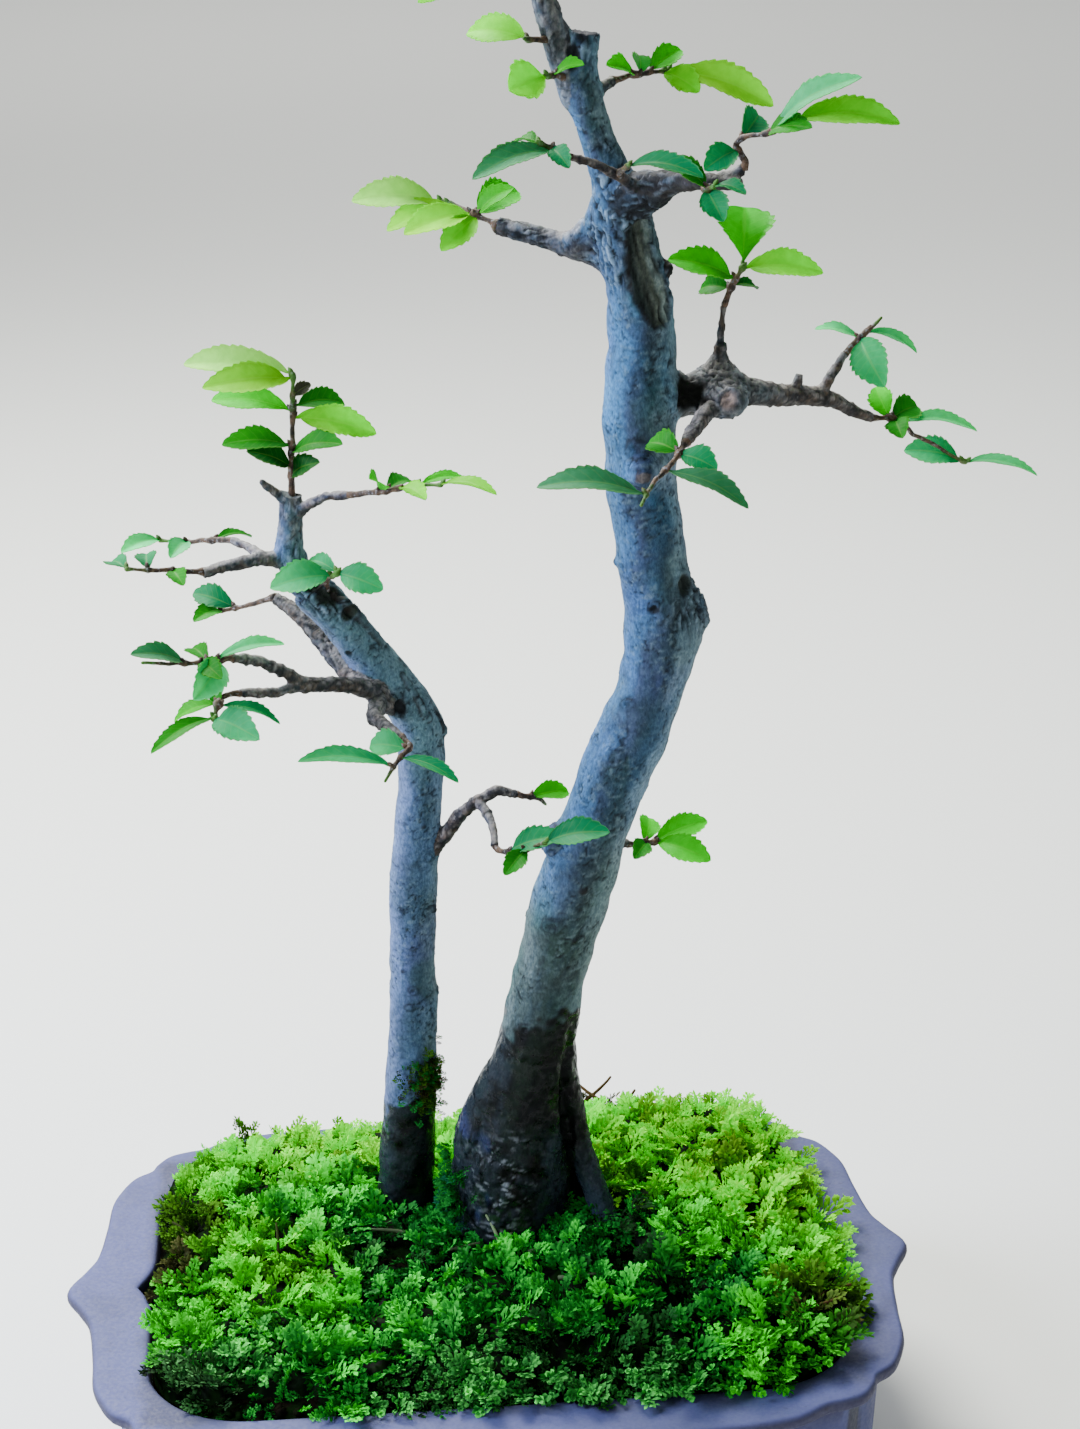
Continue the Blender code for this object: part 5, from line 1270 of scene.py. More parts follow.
    # grooves are cut in here and painted nearly black in barkTint as the shade down them
    grooveShade = np.zeros(len(points))
    for groove in tree["grooves"]:
        away, deep = alongLine(points, groove)
        away = away + 0.5 * noise(points, 4, 37)
        grooveShade = np.maximum(grooveShade, smoothStep(1.1 * deep + 0.3, 0.3 * deep, away))
        relief -= deep * smoothStep(2.2, 0.3, away)
    relief *= 1 - field["cut"]
    cutAway = np.linalg.norm(skin[:, :2], axis=1)
    relief += field["cut"] * (0.25 * noise(points, 0.9, 63) + 0.12 * np.cos(cutAway * 6))
    return relief, dict(wet=wet, foot=foot, old=old, fissure=fissure, pit=pit, hollow=hollow,
                        hollowTone=hollowTone, thin=thin, lip=np.clip(lip, 0, 1), lines=lines,
                        wrinkle=wrinkle, knotRing=knotRing, plates=plates, rings=rings,
                        worms=worms * wormed, flecks=flecks, eye=eye, strands=strands, folds=folds,
                        bent=bent, flow=flow, nodes=nodes, grooveShade=grooveShade, cracked=cracked)


def brushed(tint, *layers):
    # the bark's colours over the tint in turn, each with its share
    for tone, share in layers:
        tint = mixed(tint, linear(bark[tone]), share)
    return tint


def barkTint(points, field, tree, masks):
    # the colour of each point: grey and blue skin with painted light and shade by side, then warm limbs,
    # cracks, scars and the wet foot
    skin, bent, flow = field["skin"], masks["bent"], masks["flow"]
    height, number = points[:, 2], field["limb"]
    sunny = smoothStep(tree["sunnyAbove"], tree["sunnyAbove"] + 18, height)
    high = smoothStep(tree["blueFrom"], tree["blueFrom"] + 35, height + 12 * noise(points, 20, 101))
    tint = mixed(linear(bark["lightLow"]), linear(tree["light"]), high)
    tint = brushed(tint, ("lightTop", smoothStep(145, 200, height)))
    grey = mixed(linear(bark["greyLow"]), linear(bark["grey"]), high)
    tint = mixed(tint, grey, smoothStep(-0.3, 0.6, noise(skin / (1, 1, 2.5), 7, 71)))
    violet = 0.7 * high * smoothStep(0.0, 0.6, noise(skin / (1, 1, 2), 13, 70)) * (1 - 0.8 * sunny)
    green = smoothStep(-0.15 + 0.2 * high, 0.5, noise(skin / (1, 1, 1.6), 10, 72))
    tint = brushed(tint, ("violet", violet), ("green", (0.85 - 0.25 * high) * green))
    # painted light and shade by side: the side towards the key lamp on the left is paler and bluer, the
    # middle of the stem is painted darker and greener as shade
    facing = field["outward"][:, 0] + 0.25 * noise(skin / (1, 1, 2), 5, 88) + 0.12 * noise(bent, 1.6, 36)
    dark = smoothStep(-0.9, -0.3, facing) * (1 - 0.85 * smoothStep(0.2, 0.8, facing)) * (1 - 0.9 * sunny)
    deep = mixed(linear(bark["shade"]), linear(bark["shadeGreen"]),
                 smoothStep(-0.2, 0.4, noise(skin / (1, 1, 2), 8, 89)))
    tint = tint + (deep - tint) * (tree["shading"] * dark)[:, None]
    # painted shade: a violet band where the lit left side turns into the shaded middle, and green down the
    # middle
    tint = brushed(
        tint, ("violet", 0.3 * high * np.exp(-((facing + 0.4) / 0.3)**2)),
        ("shadeGreen", 0.4 * (1 - tree["blueMiddle"] * high) * np.exp(-((facing - 0.05) / 0.5)**2)))
    tint = mixed(tint, linear(tree["paintedLeftLight"]), 0.55 * high * smoothStep(-0.35, -0.85, facing))
    # painted light: paler from above where the small trunk bends over, and paler on the right side
    tint = brushed(tint, ("sunny", 0.85 * sunny * smoothStep(-0.8, 0.2, facing)),
                   ("pale", tree["paintedRightLight"] * smoothStep(0.2, 0.8, facing)))
    tint = mixed(tint, tint * 0.6, smoothStep(0.1, 0.5, noise(bent, 1.5, 79)) * tree["mottled"])
    tint = mixed(tint, linear(bark["grey"]) * 0.6, 0.25 * smoothStep(0.0, 0.6, masks["lines"]))
    tint = brushed(
        tint, ("pale", 0.22 * masks["flecks"]), ("crack", 0.3 * masks["wrinkle"]),
        ("crack", 0.8 * masks["worms"]), ("rough", 0.4 * masks["old"]),
        ("roughPale", 0.5 * masks["old"] * smoothStep(0.0, 0.5, masks["plates"])))
    limbSize = smoothStep(6.2, 4.6, field["radius"]) * np.isin(number, warmLimbs(tree))
    warm = brushed(linear(bark["warm"]), ("warmPale", smoothStep(-0.1, 0.5, noise(bent, 1.6, 90))))
    tint = mixed(tint, warm, 0.48 * limbSize)
    brown = brushed(
        linear(bark["twig"]), ("twigDark", smoothStep(-0.3, 0.4, noise(skin, 2.4, 74))),
        ("warmPale", 0.5 * smoothStep(0.1, 0.5, noise(flow / (1, 1, 2), 1.2, 80))),
        ("crack", 0.6 * masks["rings"]))
    tint = tint + (brown - tint) * (0.8 * masks["thin"])[:, None]
    # painted light and shade: limbs are paler on top, as lit from above, and darker underneath as shade
    branches = [k for k, name in enumerate(tree["limbs"])
                if not name.startswith(("trunk", "root", "knot", "leader"))]
    lying = smoothStep(5.5, 3.5, field["radius"]) * np.isin(number, branches)
    climb = field["outward"][:, 2] + 0.3 * noise(bent, 2.2, 96)
    tint = brushed(tint, ("warmPale", 0.45 * lying * smoothStep(0.3, 0.8, climb)))
    tint = mixed(tint, linear(bark["twigDark"]) * 0.7, 0.6 * lying * smoothStep(0.1, -0.5, climb))
    cracks = np.maximum(masks["old"], limbSize) * masks["fissure"]
    tint = brushed(
        tint, ("crack", np.maximum((0.95 - 0.25 * limbSize) * cracks, 0.7 * masks["nodes"])),
        ("crack", 0.5 * masks["knotRing"]), ("pit", 0.8 * masks["pit"]))
    grain = np.clip(1 + 0.9 * masks["strands"] + 0.45 * masks["folds"], 0.25, 2.4)[:, None]
    tint = tint + (masks["hollowTone"] * grain - tint) * masks["hollow"][:, None]
    tint = mixed(tint, linear(bark["twigDark"]) * 0.6, 0.9 * masks["lip"])
    tint = brushed(tint, ("crack", np.clip(0.8 * masks["eye"], 0, 0.85)))
    # the foot, wet and nearly black, with painted glints of wet reflection as silvery flecks in the middle
    # of the large trunk, a painted violet sheen on its left side and painted light on its flanks
    wetGlints = smoothStep(0.35, 0.8, noise(points + 0.7 * bent, 1.0, 75) + 0.6 * noise(points, 2.6, 92))
    band = np.exp(-((points[:, 0] - 2 + 2 * noise(points, 8, 107)) / 5)**2)
    band = band + np.exp(-((points[:, 0] - 2) / 6)**2 - ((height - 25) / 4)**2)
    wetGlints = wetGlints * np.clip(0.12 + 0.8 * band, 0, 1)
    sheen = masks["foot"] * tree["sheen"] * smoothStep(-0.3, -0.75, field["outward"][:, 0])
    bluish = 0.6 * np.maximum(masks["foot"], tree["paleFoot"])
    wetTone = brushed(
        linear(bark["wet"]), ("wetBrown", 0.5 * smoothStep(0.1, 0.6, noise(points, 8, 81))),
        ("wetGreen", smoothStep(0.0, 0.5, noise(points, 6, 91))),
        ("wetBlue", bluish * smoothStep(-0.4, 0.4, noise(points, 5, 100))),
        ("rootPale", 0.3 * smoothStep(-0.45, -0.9, facing)),
        ("rootPale", 0.5 * masks["foot"] * smoothStep(0.3, 0.75, facing)),
        ("wetSheen", wetGlints * (0.02 + 0.86 * masks["foot"])),
        ("wetViolet", 0.8 * sheen * smoothStep(0.0, 0.7, noise(points / (1, 1, 1.6), 5, 35))))
    # painted shade: nearly black down the grooves, and the cracks' own dark
    wetTone = mixed(wetTone, linear(bark["wet"]) * 0.5, np.maximum(masks["grooveShade"], 0.8 * masks["cracked"]))
    tint = tint + (wetTone - tint) * masks["wet"][:, None]
    low = smoothStep(26, 6, height + 10 * noise(points, 6, 76))
    tint = brushed(tint, ("algae", 0.7 * low * smoothStep(-0.1, 0.45, noise(points, 2.2, 77))))
    for k, name in enumerate(tree["limbs"]):
        own = number == k
        # painted light: the right root's lower end is paler, as lit
        if name == "rootRight":
            tint = brushed(tint, ("rootPale", 0.6 * smoothStep(32, 18, height) * own))
        # dark between the plates: stain, and painted shade
        if name in tree["stainsAndShade"]:
            stainAndShade = 0.85 * smoothStep(-0.9, -0.1, -masks["plates"]) * own
            tint = mixed(tint, linear(tree["stainsAndShade"][name]), stainAndShade)
        if name in tree["cutEnds"]:
            across = np.linalg.norm(skin[:, :2], axis=1)
            rings = 1 + 0.2 * np.cos(across * 6) + 0.3 * noise(points, 0.9, 78)
            ringed = linear(tree["cutEnds"][name]) * rings[:, None]
            tint = tint + (ringed - tint) * (field["cut"] * own)[:, None]
    return np.clip(tint, 0, 1)


def barkMaterial():
    # living elm bark: dry and matt, with a wet shine only at the foot; its fibres run along the limb
    # and are drawn coarser than they are
    values = dict(between=(0.5, 0.54, 0.6, 1), fibreMm=0.55, fibreStretch=0.6, fibreDepthMm=0.22)
    material, tree, shader, place = startMaterial("elm_bark", {"IOR": 1.4, "Specular IOR Level": 0.18})
    tint = addNode(tree, "Attribute", {"attribute_name": "tint"})
    wet = addNode(tree, "Attribute", {"attribute_name": "wet"}).outputs["Fac"]
    stretched = addNode(tree, "Mapping", {"Vector": place, "Scale": (1, 1, values["fibreStretch"])})
    fibres = addNode(tree, "TexNoise", {
        "Vector": stretched, "Scale": 1 / (values["fibreMm"] * mm), "Detail": 4, "Roughness": 0.55})
    between = addNode(tree, "MapRange", {
        "Value": fibres, "From Min": 0.35, "From Max": 0.65, "To Max": 0.75, **eased})
    dark = addNode(tree, "Mix", {**colourProduct, 6: tint, 7: values["between"]})
    setNode(tree, shader, {
        "Base Color": addNode(tree, "Mix", {**colourMix, 0: between, 6: tint, 7: dark}),
        "Roughness": addNode(tree, "MapRange", {
            "Value": wet, "To Min": 0.68, "To Max": 0.26, **eased}),
        "Normal": addNode(tree, "Bump", {
            "Height": fibres, "Strength": 0.8, "Distance": values["fibreDepthMm"] * mm})})
    return material


wood = dict(lineStep=6.0, sides=16, fits=3, fitReach=0.8)


def growWood(name, tree, material, *nodes):
    # tubes joined into one skin, drawn onto the smooth union of the limbs, then given its relief
    lines = {key: smoothOpen(points, wood["lineStep"]) for key, points in tree["limbs"].items()}
    shapes = [tube(line, wood["sides"]) for line in lines.values()]
    rough = buildMesh("rough_wood", *joinShapes(shapes))
    remesh = rough.modifiers.new("remesh", "REMESH")
    remesh.mode = "VOXEL"
    remesh.voxel_size = tree["voxel"] * mm
    graph = bpy.context.evaluated_depsgraph_get()
    mesh = bpy.data.meshes.new_from_object(rough.evaluated_get(graph))
    bpy.data.objects.remove(rough)
    count = len(mesh.vertices)
    places = np.empty(count * 3, np.float32)
    mesh.vertices.foreach_get("co", places)
    points = (places.reshape(-1, 3).astype(float) - rimMiddle) / mm
    for _ in range(wood["fits"]):
        field = woodField(points, tree, lines)
        step = np.clip(field["distance"], -wood["fitReach"], wood["fitReach"])
        points = points - field["outward"] * step[:, None]
    relief, masks = barkRelief(points, field, tree)
    tint = barkTint(points, field, tree, masks)
    points = points + field["outward"] * relief[:, None]
    mesh.vertices.foreach_set("co", inScene(points).astype(np.float32).ravel())
    mesh.polygons.foreach_set("use_smooth", np.ones(len(mesh.polygons), bool))
    mesh.update()
    mesh.name = name
    piece = bpy.data.objects.new(name, mesh)
    bpy.context.scene.collection.objects.link(piece)
    paint(piece, "tint", tint)
    paint(piece, "wet", masks["wet"] * smoothStep(-0.5, 0.3, noise(points, 1.5, 79)))
    mesh.materials.clear()
    finishPiece(piece, material, "bark", *nodes)
    print("  ", name, count, "points")


def tube(line, sides, roundEnds=False):
    # points and faces of a tapering tube along (x, y, z, radius) points
    line = np.asarray(line, float)
    if roundEnds:
        along = unit(line[-1, :3] - line[-2, :3])
        tips = [np.append(line[-1, :3] + along * line[-1, 3] * reach, line[-1, 3] * size)
                for reach, size in ((0.4, 0.85), (0.75, 0.55), (0.9, 0.15))]
        line = np.vstack((line, tips))
    centres, radii = line[:, :3], line[:, 3]
    tangents = unit(np.gradient(centres, axis=0))
    across = np.array([0.0, 1.0, 0.0])
    loops = []
    angles = np.linspace(0, 2 * math.pi, sides + 1)[:-1]
    for centre, radius, tangent in zip(centres, radii, tangents):
        across = unit(across - tangent * np.dot(across, tangent))
        third = np.cross(tangent, across)
        loops.append(centre + radius * (np.cos(angles)[:, None] * across + np.sin(angles)[:, None] * third))
    return loft(loops)


# Leafy sprays: "root" is where the twig leaves its limb, with the limb's radius if it goes on there,
# "twig" is the twig's centre line, "tones" has a letter for each leaf, and a leaf is
# (place along the twig, heading and rise in degrees, length, width, turn of its face to the viewer)

twig = dict(baseRadius=0.68, tipRadius=0.34, rootRadius=1.15, rootShare=0.92, swelling=0.3, swellReach=0.8,
            lineStep=0.5, sides=9, sway=0.18)

leaf = dict(
    fold=0.38, arch=0.10, droop=0.08, facing=(0, -0.35, 1), thickness=0.22, teeth=10, veins=8,
    stalkShare=0.07, stalkWidth=0.65, rows=40, cells=4, veinDepth=0.07, veinTone="#b9e86a",
    # tones of leaves: young yellow, lime, green, dark, bluish, pale, mint, sunlit, bright bluish,
    # greyish and dry
    tones=dict(Y="#86e800", L="#34d005", G="#1c9a1c", D="#0d6a1c", T="#129a5e", P="#b4ef6e", M="#46dc8e",
               V="#a8f218", B="#24bf78", S="#4a9a68", N="#4c4a3a"))

sprays = dict(
    small_top=dict(
        root=(-38.2, 7, 188.5), tones="PVLYGGGDDN",
        twig=[(-38, 7, 192.5), (-37.5, 6, 200.5), (-37, 5, 208.5), (-36.6, 4, 213.5), (-36.4, 3, 217.6)],
        leaves=[(1, 166, 6, 24, 7, 25), (0.96, -160, 3, 19.5, 7.5, 35), (0.66, 170, 10, 17.5, 6.5, 20),
                (0.6, -5, -10, 18, 7, 30), (0.7, 35, -5, 14, 6, 20), (0.35, -165, 10, 15, 6, 20),
                (0.28, -40, 20, 14, 6.5, 20), (0.15, -155, 30, 11, 6, 30), (0.08, -45, 30, 9, 6, 40),
                (0.8, -10, 35, 4.5, 3.2, 40)]),
    small_cut=dict(
        root=(-31.5, 7, 165), tones="MBB", twig=[(-31.5, 5, 170.5), (-30.5, 2, 173), (-29, 0, 174.5)],
        leaves=[(0.7, -160, 0, 14, 8, 25), (1, 135, 10, 9, 4.6, 12), (0.96, -30, -10, 11, 7, 32)]),
    small_right=dict(
        root=(-26, -3.4, 192.7, 0.9), tones="LGYLY",
        twig=[(-24.5, -4.4, 193.1), (-18.5, -9, 195), (-12, -13, 197), (-7, -16, 198)],
        leaves=[(0.3, -105, 40, 8, 5.5, 30), (0.38, 55, -5, 12, 6, 0), (0.53, -60, 5, 10, 5, 0),
                (0.73, 35, -5, 15, 4.4, 0), (1, -40, 5, 14, 4, 0)]),
    small_left_top=dict(
        root=(-51.3, 12.5, 178.6, 0.9), tones="MMG",
        twig=[(-52.8, 13.6, 178.4), (-57.5, 17, 177.5), (-62, 20, 176.3), (-67.5, 23, 176)],
        leaves=[(0.62, -110, 0, 9, 5, 12), (1, -140, 3, 10.5, 4.6, 10), (0.21, 40, -5, 11, 3.6, 0)]),
    small_left=dict(
        root=(-57.5, -0.8, 176, 1.1), tones="TTG",
        twig=[(-59, -1.3, 176.4), (-65.5, -4, 178), (-73, -7, 179.5)],
        leaves=[(1, 120, 0, 8, 5, 10), (0.7, 95, 15, 7, 5, 10), (0.35, -70, -5, 7, 4.5, 10)]),
    small_mid_left=dict(
        root=(-43, 20, 162.6, 1.2), tones="TG",
        twig=[(-45, 21.2, 161.8), (-50, 24, 159.5), (-59, 30, 156)],
        leaves=[(0.5, 155, 15, 11, 6, 25), (0.73, -130, 5, 9, 5, 10)]),
    small_low_left=dict(
        root=(-51.5, -19.3, 163.2, 1.0), tones="SMGMG",
        twig=[(-53, -20.2, 163.5), (-56.5, -22.5, 163.8), (-62.5, -26, 165), (-69.5, -30, 167)],
        leaves=[(0.5, -145, 25, 13, 5.2, 20), (0.13, 15, 10, 15, 3.8, 0), (0.22, 115, 5, 9, 5, 12),
                (0.06, -115, -20, 12.5, 7.5, 40), (0.3, -60, -5, 8, 5, 20)]),
    small_lowest=dict(
        root=(-50.5, -19.3, 155.3, 0.9), tones="LGBTG",
        twig=[(-52, -20.2, 155.6), (-54.5, -22.3, 155.3), (-56, -25, 152)],
        leaves=[(0.57, 165, -20, 11, 4.5, 0), (0.95, -145, -10, 16, 4.2, 5), (1, -50, 0, 14, 7.6, 24),
                (0.6, 10, -20, 14, 3.9, 0), (0.65, 95, 30, 8, 5, 20)]),
    small_front=dict(
        root=(-17, -15.4, 142.3, 1.0), tones="BMT",
        twig=[(-16.2, -16.9, 142), (-15.5, -19.5, 141.5), (-18.5, -24, 140), (-21, -28, 137.5)],
        leaves=[(0.71, 180, 10, 20, 5.2, 5), (0.25, 155, 0, 9, 6.5, 25), (0.49, -30, -10, 14, 3.8, 0)]),
    low_right_twig=dict(
        root=(8.5, 3.6, 119.6, 0.9), tones="L", twig=[(10, 4.4, 118.8), (14, 7, 116.5), (15.6, 10, 114)],
        leaves=[(0.24, 30, -5, 11, 5.5, 20)]),
    low_front_twig=dict(
        root=(2.8, -8.5, 112.6, 0.9), tones="TTG",
        twig=[(3.6, -10.2, 112.4), (6.5, -13.5, 113), (10, -17, 115.5), (13, -20, 118)],
        leaves=[(0.18, -25, 25, 14, 7, 20), (1, -25, 20, 15, 7, 20), (0.56, -130, -20, 8, 5, 20)]),
    back_twig=dict(
        root=(34.5, 14.6, 101.2, 1.0), tones="LLLG",
        twig=[(36.2, 15.3, 100.8), (41, 17, 100.3), (45.5, 20, 99.5)],
        leaves=[(0.26, 75, 20, 9, 6, 20), (0.47, 15, 15, 14, 6.5, 20), (0.54, -35, -5, 14, 7, 25),
                (0.3, -115, 0, 8, 5, 20)]),
    right_up=dict(
        root=(84.2, 23.7, 212.2, 0.95), tones="BMM",
        twig=[(85.4, 24.3, 213.5), (89.5, 25.2, 217), (92.5, 26, 219.5)],
        leaves=[(0.3, -75, -32, 14, 9, 35), (0.3, 165, 15, 10, 4, 0), (0.53, 0, -20, 12.5, 4, 0)]),
    right_shoot=dict(
        root=(54.8, 7.2, 228, 0.9), tones="LYLGD",
        twig=[(55.3, 6.9, 229.6), (57, 6, 233.5), (58.5, 5, 236.5)],
        leaves=[(1, 80, 55, 14, 13.5, 0), (0.95, -10, 0, 17, 7.5, 25), (0.62, -180, 20, 15, 8, 25),
                (0.3, 140, -5, 8, 6, 30), (0.4, 30, -10, 7, 4, 10)]),
    right_front=dict(
        root=(43.8, -16.5, 205.2, 1.1), tones="GTSS",
        twig=[(43.1, -18.2, 204.9), (39.5, -26, 203.5), (35, -34, 202), (31.5, -42, 200)],
        leaves=[(0.12, 130, 5, 9, 6.5, 20), (0.15, -35, -10, 9, 6.5, 20), (0.44, -15, -20, 18.5, 6.5, 10),
                (0.85, 180, 10, 22, 6.5, 10)]),
    right_end=dict(
        root=(91, 27.7, 196.6, 1.2), tones="LGMGBM",
        twig=[(92.5, 28.6, 196.1), (96, 30.5, 195.5), (99.5, 32.7, 193.5), (102, 34, 190.5),
              (107, 37, 187.5), (114.5, 41, 182), (116.5, 42, 181)],
        leaves=[(0.12, 120, 50, 8, 6, 30), (0.14, 35, 10, 9, 7, 25), (0.24, 0, -5, 18, 5, 0),
                (0.18, -90, -10, 8, 6, 20), (0.97, 180, 15, 14, 7.5, 25), (1, -15, -5, 16.5, 5, 0)]),
    left_end=dict(
        root=(8, 14, 245, 1.9), tones="PVVYLL",
        twig=[(6.4, 15.1, 245.6), (4, 17, 246.5), (0, 20, 248), (-3.5, 22, 249)],
        leaves=[(1, 180, 5, 19, 7.5, 25), (0.85, -165, -15, 14.5, 6.5, 20),
                (0.4, -150, -5, 16.5, 7.5, 25), (0.3, -135, -25, 12, 6.5, 30),
                (0.36, 40, 15, 14, 8.5, 20), (0.3, -15, 40, 10, 5.5, 15)]),
    upper_front=dict(
        root=(20.6, -17.6, 264.7, 0.8), tones="STG",
        twig=[(19.2, -18.2, 265.4), (16.5, -20, 267), (13.5, -21, 268.5)],
        leaves=[(0.24, -150, -5, 20, 6.2, 12), (0.51, -70, -15, 8, 4.5, 20), (0.88, 130, 0, 7, 4, 0)]),
    upper_front_leaf=dict(
        root=(31, -12, 259.5), tones="T", twig=[(30.6, -15, 261), (30.9, -20, 262.6), (31.5, -24, 264)],
        leaves=[(0.78, -30, 0, 16, 6, 5)]),
    upper_right_low=dict(
        root=(47, -20, 259.5), tones="TTG",
        twig=[(46.4, -23.4, 258.4), (46.5, -26, 258.9), (47.5, -29, 260.3)],
        leaves=[(0.45, -70, -35, 8, 6, 25), (1, -50, 0, 8, 4, 5), (0.55, 150, 35, 10, 5, 15)]),
    upper_right=dict(
        root=(54, -24, 262.5, 1.0), tones="TTMYG",
        twig=[(54.3, -24.2, 264), (52.5, -23.5, 267), (54, -24.2, 268.8), (58, -28, 270), (62, -31, 273)],
        leaves=[(0.15, -145, -15, 9, 6, 25), (0.3, 60, 20, 11, 6.5, 30), (0.75, -35, 35, 21, 6, 25),
                (0.98, 0, 0, 22, 7, 20), (0.66, -50, 15, 11, 6.5, 30)]),
    upper_twig=dict(
        root=(31, 2, 276.3, 1.1), tones="LLVYG", twig=[(32.6, 3, 276.6), (38, 6, 277), (43, 9, 276.8)],
        leaves=[(0.29, -140, 25, 8, 5.5, 25), (0.6, 35, 25, 10, 5.5, 20), (1, -10, -15, 23, 8, 25),
                (0.9, -35, -20, 9, 6.5, 25), (0.41, -95, 45, 7, 4.5, 20)]),
    leader_low=dict(
        root=(22, -1, 277), tones="YL", twig=[(19.6, -4.4, 278.6), (18, -6.5, 279), (16, -8.5, 279.3)],
        leaves=[(0.74, -135, -5, 11, 9, 35), (0.4, -30, 25, 7, 4, 10)]),
    leader_left=dict(
        root=(19, -2, 286), tones="Y", twig=[(15.9, -4, 285.7), (14, -5.5, 286), (12.5, -7, 286.5)],
        leaves=[(0.7, 150, 5, 14, 8, 30)]),
    leader_top=dict(
        root=(14.6, -4, 304, 1.2), tones="LYLG", twig=[(14.4, -4.1, 305.6), (14, -4, 309), (14, -4, 312)],
        leaves=[(0.94, -35, 20, 17, 7.5, 25), (1, 110, 45, 15, 7.5, 20), (0.63, -160, 15, 17, 7.5, 25),
                (0.38, 30, -5, 14, 6.5, 20)]),
    leader_top_left=dict(
        root=(15.5, -3, 300), tones="YLG",
        twig=[(13.2, -4.6, 300.3), (11.5, -6, 300.6), (8.5, -8, 300.8)],
        leaves=[(0.93, -160, -15, 19, 8, 25), (0.68, 145, 15, 15, 7, 20), (0.47, -70, -20, 9, 6, 20)]))


def pointAlong(points, share):
    points = np.array(points, float)
    lengths = np.linalg.norm(np.diff(points, axis=0), axis=1)
    reach = np.concatenate(([0], np.cumsum(lengths)))
    return np.array([np.interp(share * reach[-1], reach, points[:, axis]) for axis in range(3)])


def leafAxes(heading, rise, turn):
    # along the midrib, across the blade and out of its upper face
    heading, rise = math.radians(heading), math.radians(rise)
    along = np.array([math.cos(heading) * math.cos(rise), math.sin(heading) * math.cos(rise),
                      math.sin(rise)])
    facing = np.array(leaf["facing"], float)
    facing = unit(facing - along * np.dot(facing, along))
    turned = [np.array(Matrix.Rotation(math.radians(angle), 3, Vector(along)) @ Vector(facing))
              for angle in (turn, -turn)]
    up = min(turned, key=lambda direction: direction[1])
    return along, np.cross(up, along), up


def leafShape(base, heading, rise, length, width, turn, rng):
    # a closed toothed blade with its veins pressed in, and its map of (across, along)
    along, across, up = leafAxes(heading, rise, turn)
    rows, cells = leaf["rows"], leaf["cells"]
    share = np.linspace(0, 1, rows + 1)[:, None]
    side = np.linspace(-1, 1, 2 * cells + 1)[None, :]
    # an elm leaf's base is uneven
    stalk = leaf["stalkShare"] * (1 + 0.35 * np.sign(side) * rng.choice([-1, 1]))
    inBlade = np.clip((share - stalk) / (1 - stalk), 0, 1)
    widest = 0.5 + 0.16 * (width / length > 0.8) + rng.uniform(-0.02, 0.04)
    swell = inBlade**(math.log(0.5) / math.log(widest))
    teeth = max(6, round(leaf["teeth"] * min(length, 18) / 16))
    saw = (inBlade * teeth) % 1
    toothed = smoothStep(0.08, 0.22, inBlade) * (1 - smoothStep(0.94, 1, inBlade))
    half = width / 2 * np.sin(math.pi * swell)**0.68 * (1 - 0.15 * toothed * (1 - saw)**1.5)
    half = np.maximum(half, leaf["stalkWidth"] / 2 * (1 - smoothStep(0.85, 1, share)) * 0.8)
    half = half * (1 - (share >= 1))
    sideways = half * side
    edge = np.abs(side)**3
    forward = length * share + 0.3 * toothed * saw * edge
    veinPlace = inBlade * leaf["veins"] - np.abs(side) * 1.5 * (width / 8)
    vein = np.abs((veinPlace % 1) - 0.5) * 2
    blade = (inBlade > 0) * (1 - inBlade**6)
    lift = length * (leaf["arch"] * np.sin(math.pi * share) - leaf["droop"] * share**2)
    lift = lift + leaf["fold"] * np.abs(sideways)
    lift = lift + leaf["veinDepth"] * blade * (1 - vein**6) * np.minimum(1, np.abs(side) * 2)
    lift = lift + 0.25 * np.sin(inBlade * 9 + rng.uniform(0, 6)) * edge * blade * min(1, width / 7)
    twist = math.radians(rng.uniform(-9, 9)) * share * 1.4
    sideDirection = np.cos(twist)[..., None] * across + np.sin(twist)[..., None] * up
    upper = (base + forward[..., None] * along + sideways[..., None] * sideDirection
             + lift[..., None] * up).reshape(-1, 3)
    points, faces = slab(upper, upper - up * leaf["thickness"], rows, 2 * cells)
    places = np.stack(np.broadcast_arrays(side * 0.5 + 0.5, share), -1).reshape(-1, 2)
    return points, faces, np.vstack((places, places)), len(upper)


